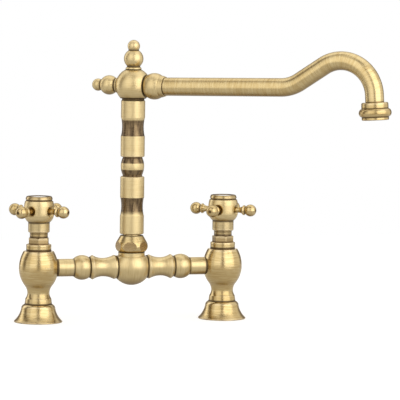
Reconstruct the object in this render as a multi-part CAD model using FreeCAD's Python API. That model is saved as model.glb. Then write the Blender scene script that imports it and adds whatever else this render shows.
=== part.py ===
import FreeCAD, Part
import math
import os

# Bridge kitchen faucet with two cross handles, a turned column and a swivelling spout.
# Origin: on the deck, midway between the two inlets.  +X runs from the left (hot) pillar to the right
# (cold) pillar, +Z is up and -Y is the side where the user stands.  Millimetres and degrees.

# ---- layout ----
inlet_spacing = 180.0
bridge_height = 51.0
spout_heading = -40.2
left_arm_heading = -47.4
right_arm_heading = -37.7

# ---- clearances ----
fit_gap = 0.05
running_gap = 0.05
open_gap = 0.3

# ---- inlet socket, under each pillar ----
inlet_thread_radius = 9.3
inlet_body_radius = 12.0
inlet_body_height = 15.0
inlet_thread_floor = 1.0
inlet_thread_depth = inlet_body_height - inlet_thread_floor
inlet_spigot_radius = 8.5
inlet_spigot_length = 9.0
waterway_radius = 6.0

# ---- base bell and its gasket ----
bell_rim_radius = 22.8
bell_rim_height = 1.0
bell_flare_radius = 16.0
bell_flare_height = 13.8
bell_flare_hollow = 1.35
bell_top_radius = 13.4
bell_top_round = 0.45
bell_top_thickness = 1.8
bell_height = inlet_body_height + bell_top_thickness
bell_cavity_radius = 16.6
gasket_inner_radius = 17.4
gasket_outer_radius = 20.4
gasket_thickness = 1.8

# ---- pillar body ----
foot_bottom_radius = 13.0
foot_top_radius = 12.3
foot_ring_height = 5.4
waist_radius = 10.5
waist_rise = 10.7
waist_share = 0.29
belly_radius = 18.6
shoulder_radius = 14.2
shoulder_rise = 16.2
neck_collar_radius = 11.85
neck_collar_height = 6.6
neck_collar_round = 0.8
valve_bore_radius = 8.3
valve_seat_drop = 10.0
port_radius = 4.5
port_socket_floor = 10.0

# ---- valve cartridge ----
seat_washer_thickness = 2.0
seat_washer_hole_radius = 5.2
bonnet_radius = 8.2
bonnet_relief_radius = 7.4
bonnet_relief_drop = 4.0
bonnet_relief_rise = 6.0
bonnet_hex_width = 18.3
bonnet_hex_height = 6.0
bonnet_hex_chamfer = 0.5
gland_radius = 8.5
gland_visible_height = 5.0
gland_hidden_height = 3.1
chamber_radius = 6.6
chamber_height = 14.0
window_width = 6.0
window_clear = 0.8
window_height = 4.8
disc_thickness = 2.8
disc_port_radius = 1.7
disc_port_offset = 3.6
tongue_width = 2.4
tongue_depth = 1.0
left_hex_heading = -75.2
right_hex_heading = -58.2

# ---- spindle ----
spindle_radius = 3.9
fork_radius = 5.0
thrust_collar_radius = 6.3
thrust_collar_thickness = 2.4
spindle_square = 5.4
spindle_square_length = 11.4
spindle_ring_rises = (7.0, 13.0)
spindle_ring_section = 0.85
clip_outer_radius = 5.6
clip_seat_radius = 3.2
clip_thickness = 0.9
clip_mouth = 4.0

# ---- cross handle ----
skirt_radius = 10.15
skirt_height = 9.8
skirt_chamfer = 0.8
skirt_cavity_radius = 8.9
skirt_cavity_height = 5.1
hub_foot_radius = 10.4
hub_radius = 14.2
hub_round_height = 8.0
hub_straight_height = 5.4
hub_top_radius = 13.15
hub_height = 20.0
screw_well_radius = 4.2
screw_web = 2.0
screw_radius = 1.9
screw_head_radius = 3.6
screw_head_height = 2.4
screw_length = 10.0
screw_slot_width = 1.0
screw_slot_depth = 1.0
ring_spigot_radius = 11.0
ring_spigot_length = 3.0
ring_groove_radius = 12.3
ring_groove_height = 1.5
ring_radius = 12.75
ring_height = 4.4
ring_shoulder_radius = 12.2
ring_shoulder_height = 3.6
ring_crest_radius = 11.1
ring_mouth_radius = 10.1
ring_shelf_radius = 9.0
ring_shelf_height = 1.6
index_disc_rise = 2.0
index_disc_dome = 0.5

# ---- handle arms ----
arm_count = 4
arm_height = 10.5
arm_stub_start = 7.0
arm_neck_radius = 2.65
arm_flare_start = 16.6
arm_ring_radius = 4.75
arm_ring_start = 21.0
arm_ring_width = 0.9
arm_groove_radius = 3.8
arm_ball_radius = 5.75
arm_ball_distance = 28.0
arm_pit_radius = 5.2
arm_pit_depth = 2.8

# ---- bridge: an arm with a ball, and a trumpet-shaped sleeve, on each side ----
arm_tube_radius = 8.35
bridge_bore_radius = 4.5
bridge_ball_radius = 11.75
bridge_ball_centre = 48.2
bridge_joint = 41.1
bridge_spigot_radius = 7.0
sleeve_edge_radius = 9.75
sleeve_outer_peak_radius = 11.65
sleeve_outer_peak = 38.2
sleeve_waist_radius = 8.75
sleeve_waist = 28.1
sleeve_inner_peak_radius = 11.55
sleeve_inner_peak = 17.2
bridge_ring_section = 0.8
bridge_ring_inset = 2.5

# ---- tee body ----
tee_half_length = 14.6
tee_radius = 17.4
tee_face_radius = 10.7
tee_flat_rise = 10.3
tee_neck_radius = 12.6
tee_neck_height = 4.2
tee_neck_round = 0.5
tee_stub_radius = 11.4
tee_stub_height = 6.8
tee_socket_depth = 5.0
stem_bore_depth = 27.0

# ---- swivel: slip rings and nut ----
slip_ring_thickness = 0.6
stem_flange_radius = 10.6
stem_flange_thickness = 2.0
nut_foot_radius = 12.7
nut_radius = 15.45
nut_belly_rise = 5.3
nut_shoulder_radius = 14.35
nut_shoulder_rise = 9.6
nut_top_radius = 10.7
nut_height = 15.7
nut_flat_width = 28.2
nut_flat_heading = 10.6

# ---- stem and column ----
stem_radius = 7.5
stem_waterway_radius = 4.8
stem_end_rise = 5.3
stem_ring_rises = (4.0, 10.0)
stem_ring_section = 0.8
stem_shoulder_radius = 8.05
column_gap = 1.3
column_radius = 11.4
column_lower_length = 54.7
column_bead_length = 18.7
column_upper_length = 53.7
column_edge = 0.7
column_neck_radius = 10.7
column_neck_height = 1.6
waist_edge_radius = 11.2
column_waist_radius = 10.25
lower_waist_start = 17.5
upper_waist_start = 19.8
column_waist_length = 17.2
bead_end_radius = 9.3
bead_lower_flat = 1.4
bead_upper_flat = 0.8
bead_radius = 11.1

# ---- head ball and finials ----
head_radius = 17.0
head_rise = 12.1
head_thread_depth = 6.2
head_port_radius = 5.5
finial_ring_radius = 7.4
finial_ring_width = 2.3
finial_groove_radius = 6.4
finial_ball_radius = 9.25
finial_ball_distance = 25.5
finial_neck_radius = 5.0
finial_tip_radius = 5.85
finial_tip_distance = 37.4
finial_stud_radius = 3.0
finial_stud_length = 6.0

# ---- spout ----
spout_tube_radius = 8.6
spout_tube_wall = 1.1
spout_run_tilt = 1.24
spout_bend_radius = 36.0
spout_rise = 32.6
spout_arch_radius = 32.6
spout_arch_reach = 212.1
spout_arch_drop = 4.0
spout_end_tilt = 3.5
spout_end_length = 11.45
spout_socket_depth = 13.0
collar_radius = 12.5
collar_centre = 22.3
collar_seat = 14.0
collar_edge_radius = 10.2
collar_edge_width = 1.3
collar_end = 33.6
collar_end_radius = 9.3
collar_spigot_radius = 7.0
collar_spigot_length = 6.0

# ---- nozzle and aerator ----
nozzle_top_radius = 12.4
nozzle_top_height = 5.8
nozzle_top_round = 1.4
nozzle_ring_radius = 15.0
nozzle_ring_height = 7.3
nozzle_socket_depth = 5.0
nozzle_thread_radius = 11.4
nozzle_thread_height = 6.0
aerator_rim_radius = 12.45
aerator_rim_height = 3.1
aerator_rim_chamfer = 0.5
aerator_bore_radius = 9.8
aerator_seal_thickness = 1.2
screen_thickness = 4.0
screen_recess = 1.2
screen_hole_radius = 0.8
screen_hole_pitch = 2.9
screen_rings = 2

# ---- heights that follow ----
shoulder_height = bridge_height + shoulder_rise
neck_collar_top = shoulder_height + neck_collar_height
seat_height = bridge_height - valve_seat_drop
cartridge_bottom = seat_height + seat_washer_thickness
disc_split = cartridge_bottom + disc_thickness
disc_top = disc_split + disc_thickness
chamber_top = cartridge_bottom + chamber_height
hex_top = neck_collar_top + bonnet_hex_height
skirt_bottom = hex_top + gland_visible_height
gland_top = skirt_bottom + gland_hidden_height
hub_bottom = skirt_bottom + skirt_height
hub_top = hub_bottom + hub_height
cavity_top = skirt_bottom + skirt_cavity_height
spindle_top = cavity_top + spindle_square_length
screw_seat = spindle_top + fit_gap + screw_web
tee_flat = bridge_height + tee_flat_rise
nut_bottom = tee_flat + tee_neck_height
tee_stub_top = nut_bottom + tee_stub_height
flange_bottom = tee_stub_top + slip_ring_thickness
flange_top = flange_bottom + stem_flange_thickness
nut_ceiling = flange_top + running_gap + slip_ring_thickness
column_bottom = nut_bottom + nut_height + column_gap
bead_bottom = column_bottom + column_lower_length
bead_top = bead_bottom + column_bead_length
column_top = bead_top + column_upper_length
head_bottom = column_top + column_neck_height
head_height = head_bottom + head_rise

ORIGIN = FreeCAD.Vector(0, 0, 0)
UP = FreeCAD.Vector(0, 0, 1)
OUT = FreeCAD.Vector(1, 0, 0)
MARGIN = 1.0


# ---- drawing helpers ----
def turned(start, *steps):
    """Solid turned about Z.  A step (radius, height) is a straight line, and a pair of points is an arc."""
    edges = []
    first = FreeCAD.Vector(start[0], 0, start[1])
    here = first
    for step in steps:
        if isinstance(step[0], tuple):
            middle = FreeCAD.Vector(step[0][0], 0, step[0][1])
            there = FreeCAD.Vector(step[1][0], 0, step[1][1])
            edges.append(Part.Arc(here, middle, there).toShape())
        else:
            there = FreeCAD.Vector(step[0], 0, step[1])
            edges.append(Part.makeLine(here, there))
        here = there
    edges.append(Part.makeLine(here, first))
    return Part.Face(Part.Wire(edges)).revolve(ORIGIN, UP, 360)


def bowed(start, end, rise):
    """Arc step from start to end, bulging to the right of its travel by rise."""
    chord = math.hypot(end[0] - start[0], end[1] - start[1])
    across = (end[1] - start[1]) / chord * rise
    along = -(end[0] - start[0]) / chord * rise
    return ((start[0] + end[0]) / 2 + across, (start[1] + end[1]) / 2 + along), end


def rounded(start, end):
    """Arc step from start to end that bulges to the right as a quarter circle would."""
    chord = math.hypot(end[0] - start[0], end[1] - start[1])
    return bowed(start, end, chord * math.tan(math.pi / 8) / 2)


def leaving_upright(start, end):
    """Arc step to end that leaves start parallel to the axis."""
    rise = end[1] - start[1]
    half = math.atan2(end[0] - start[0], abs(rise))
    reach = math.hypot(end[0] - start[0], rise) / (2 * math.cos(half / 2))
    lift = math.copysign(reach * math.cos(half / 2), rise)
    return (start[0] + reach * math.sin(half / 2), start[1] + lift), end


def arriving_upright(start, end):
    """Arc step from start that reaches end parallel to the axis."""
    return leaving_upright(end, start)[0], end


def arriving_level(start, end):
    """Arc step from start that reaches end, on the axis, square to it."""
    half = math.atan2(end[1] - start[1], start[0] - end[0])
    reach = math.hypot(end[0] - start[0], end[1] - start[1]) / (2 * math.cos(half / 2))
    return (end[0] + reach * math.cos(half / 2), end[1] - reach * math.sin(half / 2)), end


def ball_offset(ball_radius, radius):
    """Distance from a ball's centre to the plane where it has the given radius."""
    return math.sqrt(ball_radius ** 2 - radius ** 2)


def ball_arc(ball_radius, centre, start, end):
    """Arc step along a ball centred on the axis, from the offset start to the offset end."""
    low = math.asin(start / ball_radius)
    high = math.asin(end / ball_radius)
    angle = (low + high) / 2
    middle = (ball_radius * math.cos(angle), centre + ball_radius * math.sin(angle))
    return middle, (ball_radius * math.cos(high), centre + end)


def cylinder(radius, bottom, top):
    return Part.makeCylinder(radius, top - bottom, FreeCAD.Vector(0, 0, bottom))


def ring(inner, outer, bottom, top):
    return cylinder(outer, bottom, top).cut(cylinder(inner, bottom, top))


def block(length, width, bottom, top):
    """Block centred on the axis, length along X and width along Y."""
    corner = FreeCAD.Vector(-length / 2, -width / 2, bottom)
    return Part.makeBox(length, width, top - bottom, corner)


def hexagon(across_flats, bottom, top, heading):
    """Hexagonal prism with the middle of one flat at the heading."""
    radius = across_flats / math.sqrt(3)
    corners = []
    for k in range(7):
        angle = math.radians(heading + 30 + 60 * k)
        corners.append(FreeCAD.Vector(radius * math.cos(angle), radius * math.sin(angle), bottom))
    return Part.Face(Part.makePolygon(corners)).extrude(UP * (top - bottom))


def o_rings(shaft_radius, section, heights):
    """O-rings whose outsides lie just inside the shaft's own radius."""
    rings = [Part.makeTorus(shaft_radius - section - fit_gap, section, UP * height) for height in heights]
    return rings[0] if len(rings) == 1 else Part.makeCompound(rings)


def grooved(shaft, shaft_radius, section, heights):
    """The shaft with a square groove round it for each O-ring."""
    floor = shaft_radius - 2 * section - 2 * fit_gap
    for height in heights:
        low = height - section - fit_gap
        high = height + section + fit_gap
        shaft = shaft.cut(ring(floor, shaft_radius + MARGIN, low, high))
    return shaft


def aimed(shape, origin, direction):
    """Copy of a shape made along Z, set at origin with its Z along direction."""
    copy = shape.copy()
    turn = FreeCAD.Rotation(UP, direction)
    copy.Placement = FreeCAD.Placement(origin, turn).multiply(copy.Placement)
    return copy


def headed(shape, heading):
    """Copy of a shape turned about Z."""
    copy = shape.copy()
    copy.rotate(ORIGIN, UP, heading)
    return copy


# ---- foot of a pillar ----
def inlet_socket():
    spigot_top = inlet_body_height + inlet_spigot_length
    body = cylinder(inlet_body_radius, 0, inlet_body_height)
    spigot = cylinder(inlet_spigot_radius, inlet_body_height, spigot_top)
    thread = cylinder(inlet_thread_radius, 0, inlet_thread_depth)
    waterway = cylinder(waterway_radius, 0, spigot_top)
    return body.fuse(spigot).cut(thread).cut(waterway)


def base_bell():
    rim = (bell_rim_radius, bell_rim_height)
    flare = (bell_flare_radius, bell_flare_height)
    top = (bell_top_radius, bell_height)
    cavity_top = (inlet_body_radius + open_gap, inlet_body_height)
    shell = turned(
        (inlet_spigot_radius + fit_gap, bell_height),
        (inlet_spigot_radius + fit_gap, inlet_body_height),
        cavity_top,
        bowed(cavity_top, (bell_cavity_radius, 0), -bell_flare_hollow),
        (bell_rim_radius, 0),
        rim,
        bowed(rim, flare, -bell_flare_hollow),
        bowed(flare, top, bell_top_round))
    groove = ring(gasket_inner_radius - fit_gap, gasket_outer_radius + fit_gap, 0, gasket_thickness)
    return shell.cut(groove)


def base_gasket():
    return ring(gasket_inner_radius, gasket_outer_radius, 0, gasket_thickness)


# ---- pillar body ----
def pillar_body():
    foot_top = (foot_top_radius, bell_height + foot_ring_height)
    waist = (waist_radius, bell_height + waist_rise)
    belly = (belly_radius, bridge_height)
    bend = tuple(low + (high - low) * waist_share for low, high in zip(waist, belly))
    collar_edge = (neck_collar_radius, neck_collar_top - neck_collar_round)
    collar_top = (neck_collar_radius - neck_collar_round, neck_collar_top)
    body = turned(
        (0, bell_height),
        (foot_bottom_radius, bell_height),
        foot_top,
        arriving_upright(foot_top, waist),
        leaving_upright(waist, bend),
        arriving_upright(bend, belly),
        leaving_upright(belly, (shoulder_radius, shoulder_height)),
        (neck_collar_radius, shoulder_height),
        collar_edge,
        rounded(collar_edge, collar_top),
        (0, neck_collar_top))
    spigot_top = inlet_body_height + inlet_spigot_length + fit_gap
    body = body.cut(cylinder(inlet_spigot_radius + fit_gap, bell_height, spigot_top))
    body = body.cut(cylinder(waterway_radius, bell_height, seat_height))
    body = body.cut(cylinder(valve_bore_radius, seat_height, neck_collar_top))
    socket = cylinder(arm_tube_radius + fit_gap, port_socket_floor, belly_radius + MARGIN)
    port = cylinder(port_radius, 0, port_socket_floor)
    opening = aimed(socket.fuse(port), FreeCAD.Vector(0, 0, bridge_height), OUT)
    return body.cut(opening)


# ---- valve cartridge ----
def seat_washer():
    return ring(seat_washer_hole_radius, bonnet_radius, seat_height, cartridge_bottom)


def cartridge_bonnet(hex_heading):
    hex_solid = hexagon(bonnet_hex_width, neck_collar_top, hex_top, hex_heading)
    corner_radius = bonnet_hex_width / math.sqrt(3)
    chamfer_cone = turned(
        (0, neck_collar_top),
        (corner_radius, neck_collar_top),
        (corner_radius, hex_top - bonnet_hex_chamfer),
        (corner_radius - 2 * bonnet_hex_chamfer, hex_top),
        (0, hex_top))
    body = turned(
        (spindle_radius + running_gap, chamber_top),
        (spindle_radius + running_gap, gland_top),
        (gland_radius, gland_top),
        (gland_radius, neck_collar_top),
        (bonnet_radius, neck_collar_top),
        (bonnet_radius, bridge_height + bonnet_relief_rise),
        (bonnet_relief_radius, bridge_height + bonnet_relief_rise),
        (bonnet_relief_radius, bridge_height - bonnet_relief_drop),
        (bonnet_radius, bridge_height - bonnet_relief_drop),
        (bonnet_radius, cartridge_bottom),
        (chamber_radius, cartridge_bottom),
        (chamber_radius, chamber_top))
    window_bottom = disc_top + window_clear
    window = block(2 * bonnet_radius + MARGIN, window_width, window_bottom, window_bottom + window_height)
    hex_solid = hex_solid.common(chamfer_cone).cut(cylinder(gland_radius, neck_collar_top, hex_top))
    return body.fuse(hex_solid).cut(window).cut(headed(window, 90))


def ceramic_disc(bottom, heading):
    """Valve disc with two opposite round ports."""
    disc = cylinder(chamber_radius - 2 * running_gap, bottom, bottom + disc_thickness)
    for side in (0, 180):
        angle = math.radians(heading + side)
        centre = FreeCAD.Vector(math.cos(angle), math.sin(angle), 0) * disc_port_offset
        port = cylinder(disc_port_radius, bottom, bottom + disc_thickness)
        port.translate(centre)
        disc = disc.cut(port)
    return disc


def fixed_disc():
    return ceramic_disc(cartridge_bottom, 0)


def moving_disc():
    """Closed at rest: its ports lie a quarter turn from those of the fixed disc."""
    slot = block(2 * chamber_radius, tongue_width + 2 * fit_gap, disc_top - tongue_depth, disc_top)
    return ceramic_disc(disc_split, 90).cut(slot)


# ---- spindle ----
def spindle():
    collar_top = chamber_top - running_gap
    collar_bottom = collar_top - thrust_collar_thickness
    tongue = block(2 * fork_radius, tongue_width, disc_top - tongue_depth + fit_gap, collar_bottom)
    tongue = tongue.common(cylinder(fork_radius, disc_split, collar_bottom))
    fork = cylinder(fork_radius, disc_top + fit_gap, collar_bottom)
    collar = cylinder(thrust_collar_radius, collar_bottom, collar_top)
    shaft = cylinder(spindle_radius, collar_top, cavity_top)
    square = block(spindle_square, spindle_square, cavity_top, spindle_top)
    solid = fork.fuse([tongue, collar, shaft, square])
    solid = grooved(solid, spindle_radius, spindle_ring_section, spindle_ring_heights())
    clip_bottom = gland_top + open_gap - fit_gap
    clip_top = gland_top + open_gap + clip_thickness + fit_gap
    solid = solid.cut(ring(clip_seat_radius, spindle_radius + MARGIN, clip_bottom, clip_top))
    tap_bottom = screw_seat - screw_length - MARGIN
    return solid.cut(cylinder(screw_radius + fit_gap, tap_bottom, spindle_top))


def spindle_ring_heights():
    return [chamber_top + rise for rise in spindle_ring_rises]


def spindle_o_rings():
    return o_rings(spindle_radius, spindle_ring_section, spindle_ring_heights())


def spindle_clip():
    bottom = gland_top + open_gap
    clip = ring(clip_seat_radius + fit_gap, clip_outer_radius, bottom, bottom + clip_thickness)
    mouth = Part.makeBox(clip_outer_radius, clip_mouth, clip_thickness,
                         FreeCAD.Vector(0, -clip_mouth / 2, bottom))
    return clip.cut(mouth)


# ---- cross handle ----
def handle_hub(arm_heading):
    """Hub with its skirt: spindle square below, screw well and index recess above, four pits for the arms."""
    foot = (hub_foot_radius, hub_bottom)
    belt_low = (hub_radius, hub_bottom + hub_round_height)
    belt_high = (hub_radius, hub_bottom + hub_round_height + hub_straight_height)
    top = (hub_top_radius, hub_top)
    hub = turned(
        (0, skirt_bottom),
        (skirt_radius - skirt_chamfer, skirt_bottom),
        (skirt_radius, skirt_bottom + skirt_chamfer),
        (skirt_radius, hub_bottom),
        foot,
        arriving_upright(foot, belt_low),
        belt_high,
        leaving_upright(belt_high, top),
        (0, hub_top))
    square = spindle_square + 2 * fit_gap
    hub = hub.cut(cylinder(skirt_cavity_radius, skirt_bottom, cavity_top))
    hub = hub.cut(block(square, square, cavity_top, spindle_top + fit_gap))
    hub = hub.cut(cylinder(screw_radius + 2 * fit_gap, spindle_top, screw_seat))
    hub = hub.cut(cylinder(screw_well_radius, screw_seat, hub_top))
    hub = hub.cut(cylinder(ring_spigot_radius + fit_gap, hub_top - ring_spigot_length - fit_gap, hub_top))
    pit_floor = hub_radius - arm_pit_depth
    pit = turned(
        (0, arm_stub_start - fit_gap),
        (arm_neck_radius + fit_gap, arm_stub_start - fit_gap),
        (arm_neck_radius + fit_gap, pit_floor),
        (arm_pit_radius, hub_radius),
        (arm_pit_radius, hub_radius + MARGIN),
        (0, hub_radius + MARGIN))
    pit = aimed(pit, FreeCAD.Vector(0, 0, hub_bottom + arm_height), OUT)
    for k in range(arm_count):
        hub = hub.cut(headed(pit, arm_heading + 360 / arm_count * k))
    return hub


def handle_arms(arm_heading):
    """Four loose arms: a neck, a flared ring and a ball end on each."""
    ring_edge = (arm_ring_radius, arm_ring_start)
    groove = arm_ball_distance - ball_offset(arm_ball_radius, arm_groove_radius)
    arm = turned(
        (0, arm_stub_start),
        (arm_neck_radius, arm_stub_start),
        (arm_neck_radius, arm_flare_start),
        leaving_upright((arm_neck_radius, arm_flare_start), ring_edge),
        (arm_ring_radius, arm_ring_start + arm_ring_width),
        (arm_groove_radius, arm_ring_start + 2 * arm_ring_width),
        (arm_groove_radius, groove),
        ball_arc(arm_ball_radius, arm_ball_distance, groove - arm_ball_distance, arm_ball_radius))
    arm = aimed(arm, FreeCAD.Vector(0, 0, hub_bottom + arm_height), OUT)
    headings = [arm_heading + 360 / arm_count * k for k in range(arm_count)]
    return Part.makeCompound([headed(arm, heading) for heading in headings])


def index_ring():
    groove_top = hub_top + ring_groove_height
    shoulder = (ring_shoulder_radius, hub_top + ring_shoulder_height)
    crest = (ring_crest_radius, hub_top + ring_height)
    mouth = (ring_mouth_radius, hub_top + ring_height - (ring_crest_radius - ring_mouth_radius) / 2)
    shelf = hub_top + ring_shelf_height
    return turned(
        (ring_shelf_radius, hub_top - ring_spigot_length),
        (ring_spigot_radius, hub_top - ring_spigot_length),
        (ring_spigot_radius, hub_top),
        (ring_groove_radius, hub_top),
        (ring_groove_radius, groove_top),
        (ring_radius, groove_top),
        leaving_upright((ring_radius, groove_top), shoulder),
        rounded(shoulder, crest),
        rounded(crest, mouth),
        (ring_mouth_radius, shelf),
        (ring_shelf_radius, shelf))


def index_disc():
    """Porcelain button, left bare."""
    shelf = hub_top + ring_shelf_height
    edge = (ring_mouth_radius - fit_gap, shelf + index_disc_rise)
    crown = (0, edge[1] + index_disc_dome)
    return turned(
        (0, shelf),
        (edge[0], shelf),
        edge,
        arriving_level(edge, crown))


def handle_screw():
    head_top = screw_seat + screw_head_height
    shank = cylinder(screw_radius, screw_seat - screw_length, screw_seat)
    head = cylinder(screw_head_radius, screw_seat, head_top)
    slot = block(2 * screw_head_radius, screw_slot_width, head_top - screw_slot_depth, head_top)
    return shank.fuse(head).cut(slot)


# ---- bridge, drawn with the distance from the tee's centre as the height ----
def bridge_arm():
    tube_end = inlet_spacing / 2 - port_socket_floor
    tube_start = bridge_ball_centre + ball_offset(bridge_ball_radius, arm_tube_radius)
    spigot_end = tee_half_length - tee_socket_depth + fit_gap
    ball_face = bridge_joint - bridge_ball_centre
    face_radius = math.sqrt(bridge_ball_radius ** 2 - ball_face ** 2)
    arm = turned(
        (bridge_bore_radius, spigot_end),
        (bridge_spigot_radius, spigot_end),
        (bridge_spigot_radius, bridge_joint),
        (face_radius, bridge_joint),
        ball_arc(bridge_ball_radius, bridge_ball_centre, ball_face, tube_start - bridge_ball_centre),
        (arm_tube_radius, tube_end),
        (bridge_bore_radius, tube_end))
    return grooved(arm, bridge_spigot_radius, bridge_ring_section, [spigot_end + bridge_ring_inset])


def bridge_sleeve():
    waist = (sleeve_waist_radius, sleeve_waist)
    inner_peak = (sleeve_inner_peak_radius, sleeve_inner_peak)
    outer_peak = (sleeve_outer_peak_radius, sleeve_outer_peak)
    return turned(
        (bridge_spigot_radius + fit_gap, tee_half_length),
        (tee_face_radius, tee_half_length),
        inner_peak,
        arriving_upright(inner_peak, waist),
        leaving_upright(waist, outer_peak),
        (sleeve_edge_radius, bridge_joint),
        (bridge_spigot_radius + fit_gap, bridge_joint))


def bridge_o_ring():
    height = tee_half_length - tee_socket_depth + fit_gap + bridge_ring_inset
    return o_rings(bridge_spigot_radius, bridge_ring_section, [height])


# ---- tee body ----
def tee_body():
    """Barrel across the bridge, faced flat on top, with a neck ring and a threaded stub for the nut."""
    face = (tee_face_radius, -tee_half_length)
    barrel = turned(
        (0, -tee_half_length),
        face,
        arriving_upright(face, (tee_radius, 0)),
        leaving_upright((tee_radius, 0), (tee_face_radius, tee_half_length)),
        (0, tee_half_length))
    barrel = aimed(barrel, FreeCAD.Vector(0, 0, bridge_height), OUT)
    barrel = barrel.cut(block(4 * tee_radius, 4 * tee_radius, tee_flat, nut_bottom + 2 * tee_radius))
    neck = turned(
        (0, bridge_height),
        (tee_neck_radius, bridge_height),
        (tee_neck_radius, nut_bottom - tee_neck_round),
        (tee_neck_radius - tee_neck_round, nut_bottom),
        (0, nut_bottom))
    neck = neck.common(block(2 * tee_half_length, 4 * tee_radius, bridge_height, nut_bottom))
    stub = cylinder(tee_stub_radius, nut_bottom, tee_stub_top)
    body = barrel.fuse([neck, stub])
    body = body.cut(cylinder(stem_radius + running_gap, tee_stub_top - stem_bore_depth, tee_stub_top))
    socket = cylinder(bridge_spigot_radius + fit_gap, tee_half_length - tee_socket_depth, tee_half_length)
    port = cylinder(port_radius, 0, tee_half_length)
    for side in (OUT, -OUT):
        body = body.cut(aimed(socket.fuse(port), FreeCAD.Vector(0, 0, bridge_height), side))
    return body


# ---- swivel ----
def lower_slip_ring():
    return ring(stem_radius + open_gap, tee_stub_radius, tee_stub_top, flange_bottom)


def upper_slip_ring():
    return ring(stem_shoulder_radius + open_gap, tee_stub_radius, flange_top + running_gap, nut_ceiling)


def swivel_nut():
    foot = (nut_foot_radius, nut_bottom)
    belly = (nut_radius, nut_bottom + nut_belly_rise)
    shoulder = (nut_shoulder_radius, nut_bottom + nut_shoulder_rise)
    top = nut_bottom + nut_height
    outside = turned(
        (0, nut_bottom),
        foot,
        arriving_upright(foot, belly),
        leaving_upright(belly, shoulder),
        (nut_top_radius, top),
        (0, top))
    outside = outside.common(hexagon(nut_flat_width, nut_bottom, top, nut_flat_heading))
    thread = cylinder(tee_stub_radius + fit_gap, nut_bottom, nut_ceiling)
    return outside.cut(thread).cut(cylinder(stem_shoulder_radius + open_gap, nut_bottom, top))


# ---- column ----
def column_stem():
    """Water pipe that carries the column: sealed in the tee, held by its flange under the nut."""
    bottom = bridge_height + stem_end_rise
    top = head_bottom + head_thread_depth
    stem = turned(
        (stem_waterway_radius, bottom),
        (stem_radius, bottom),
        (stem_radius, flange_bottom),
        (stem_flange_radius, flange_bottom),
        (stem_flange_radius, flange_top),
        (stem_shoulder_radius, flange_top),
        (stem_shoulder_radius, column_bottom),
        (stem_radius, column_bottom),
        (stem_radius, top),
        (stem_waterway_radius, top))
    return grooved(stem, stem_radius, stem_ring_section, stem_ring_heights())


def stem_ring_heights():
    return [bridge_height + stem_end_rise + rise for rise in stem_ring_rises]


def stem_o_rings():
    return o_rings(stem_radius, stem_ring_section, stem_ring_heights())


def column_sleeve(bottom, length, waist_start):
    """Turned sleeve with chamfered ends and one concave waist."""
    top = bottom + length
    waist_bottom = (waist_edge_radius, bottom + waist_start)
    waist_middle = (column_waist_radius, bottom + waist_start + column_waist_length / 2)
    waist_top = (waist_edge_radius, bottom + waist_start + column_waist_length)
    return turned(
        (stem_radius + fit_gap, bottom),
        (column_radius - column_edge, bottom),
        (column_radius, bottom + column_edge),
        (column_radius, waist_bottom[1]),
        waist_bottom,
        (waist_middle, waist_top),
        (column_radius, waist_top[1]),
        (column_radius, top - column_edge),
        (column_radius - column_edge, top),
        (stem_radius + fit_gap, top))


def column_lower():
    return column_sleeve(column_bottom, column_lower_length, lower_waist_start)


def column_upper():
    """Sleeve with a neck groove between it and the head ball."""
    neck = ring(stem_radius + fit_gap, column_neck_radius, column_top, head_bottom)
    return column_sleeve(bead_top, column_upper_length, upper_waist_start).fuse(neck)


def column_bead():
    low = (bead_end_radius, bead_bottom + bead_lower_flat)
    high = (bead_end_radius, bead_top - bead_upper_flat)
    middle = (bead_radius, (low[1] + high[1]) / 2)
    return turned(
        (stem_radius + fit_gap, bead_bottom),
        (bead_end_radius, bead_bottom),
        low,
        (middle, high),
        (bead_end_radius, bead_top),
        (stem_radius + fit_gap, bead_top))


# ---- head ----
def head_centre():
    return FreeCAD.Vector(0, 0, head_height)


def head_ball():
    """Hollow ball with flats where the column, the spout collar and the two finials seat."""
    ball = Part.makeSphere(head_radius)
    far = head_radius + MARGIN
    seat = ball_offset(head_radius, finial_ring_radius)
    stud_hole = cylinder(finial_stud_radius + fit_gap, seat - finial_stud_length - MARGIN, seat)
    finial_cut = cylinder(far, seat, far).fuse(stud_hole)
    collar_cut = cylinder(far, collar_seat, far).fuse(
        cylinder(collar_spigot_radius + fit_gap, collar_seat - collar_spigot_length, collar_seat))
    collar_cut = collar_cut.fuse(cylinder(head_port_radius, 0, collar_seat))
    column_cut = cylinder(far, head_rise, far).fuse(
        cylinder(stem_radius + fit_gap, head_rise - head_thread_depth, head_rise))
    column_cut = column_cut.fuse(cylinder(head_port_radius, -head_port_radius, head_rise))
    for cutter, side in ((finial_cut, UP), (finial_cut, -OUT), (collar_cut, OUT), (column_cut, -UP)):
        ball = ball.cut(aimed(cutter, ORIGIN, side))
    ball.translate(head_centre())
    return ball


def finial():
    """Ring, large ball and small ball on a stud, with the head ball's centre as height zero."""
    seat = ball_offset(head_radius, finial_ring_radius)
    ring_top = seat + finial_ring_width
    ball_low = -ball_offset(finial_ball_radius, finial_groove_radius)
    ball_high = ball_offset(finial_ball_radius, finial_neck_radius)
    tip_low = -ball_offset(finial_tip_radius, finial_neck_radius)
    return turned(
        (0, seat - finial_stud_length),
        (finial_stud_radius, seat - finial_stud_length),
        (finial_stud_radius, seat),
        (finial_ring_radius, seat),
        bowed((finial_ring_radius, seat), (finial_groove_radius, ring_top), finial_ring_width / 4),
        (finial_groove_radius, finial_ball_distance + ball_low),
        ball_arc(finial_ball_radius, finial_ball_distance, ball_low, ball_high),
        (finial_neck_radius, finial_tip_distance + tip_low),
        ball_arc(finial_tip_radius, finial_tip_distance, tip_low, finial_tip_radius))


def top_finial():
    return aimed(finial(), head_centre(), UP)


def side_finial():
    return aimed(finial(), head_centre(), -OUT)


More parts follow.
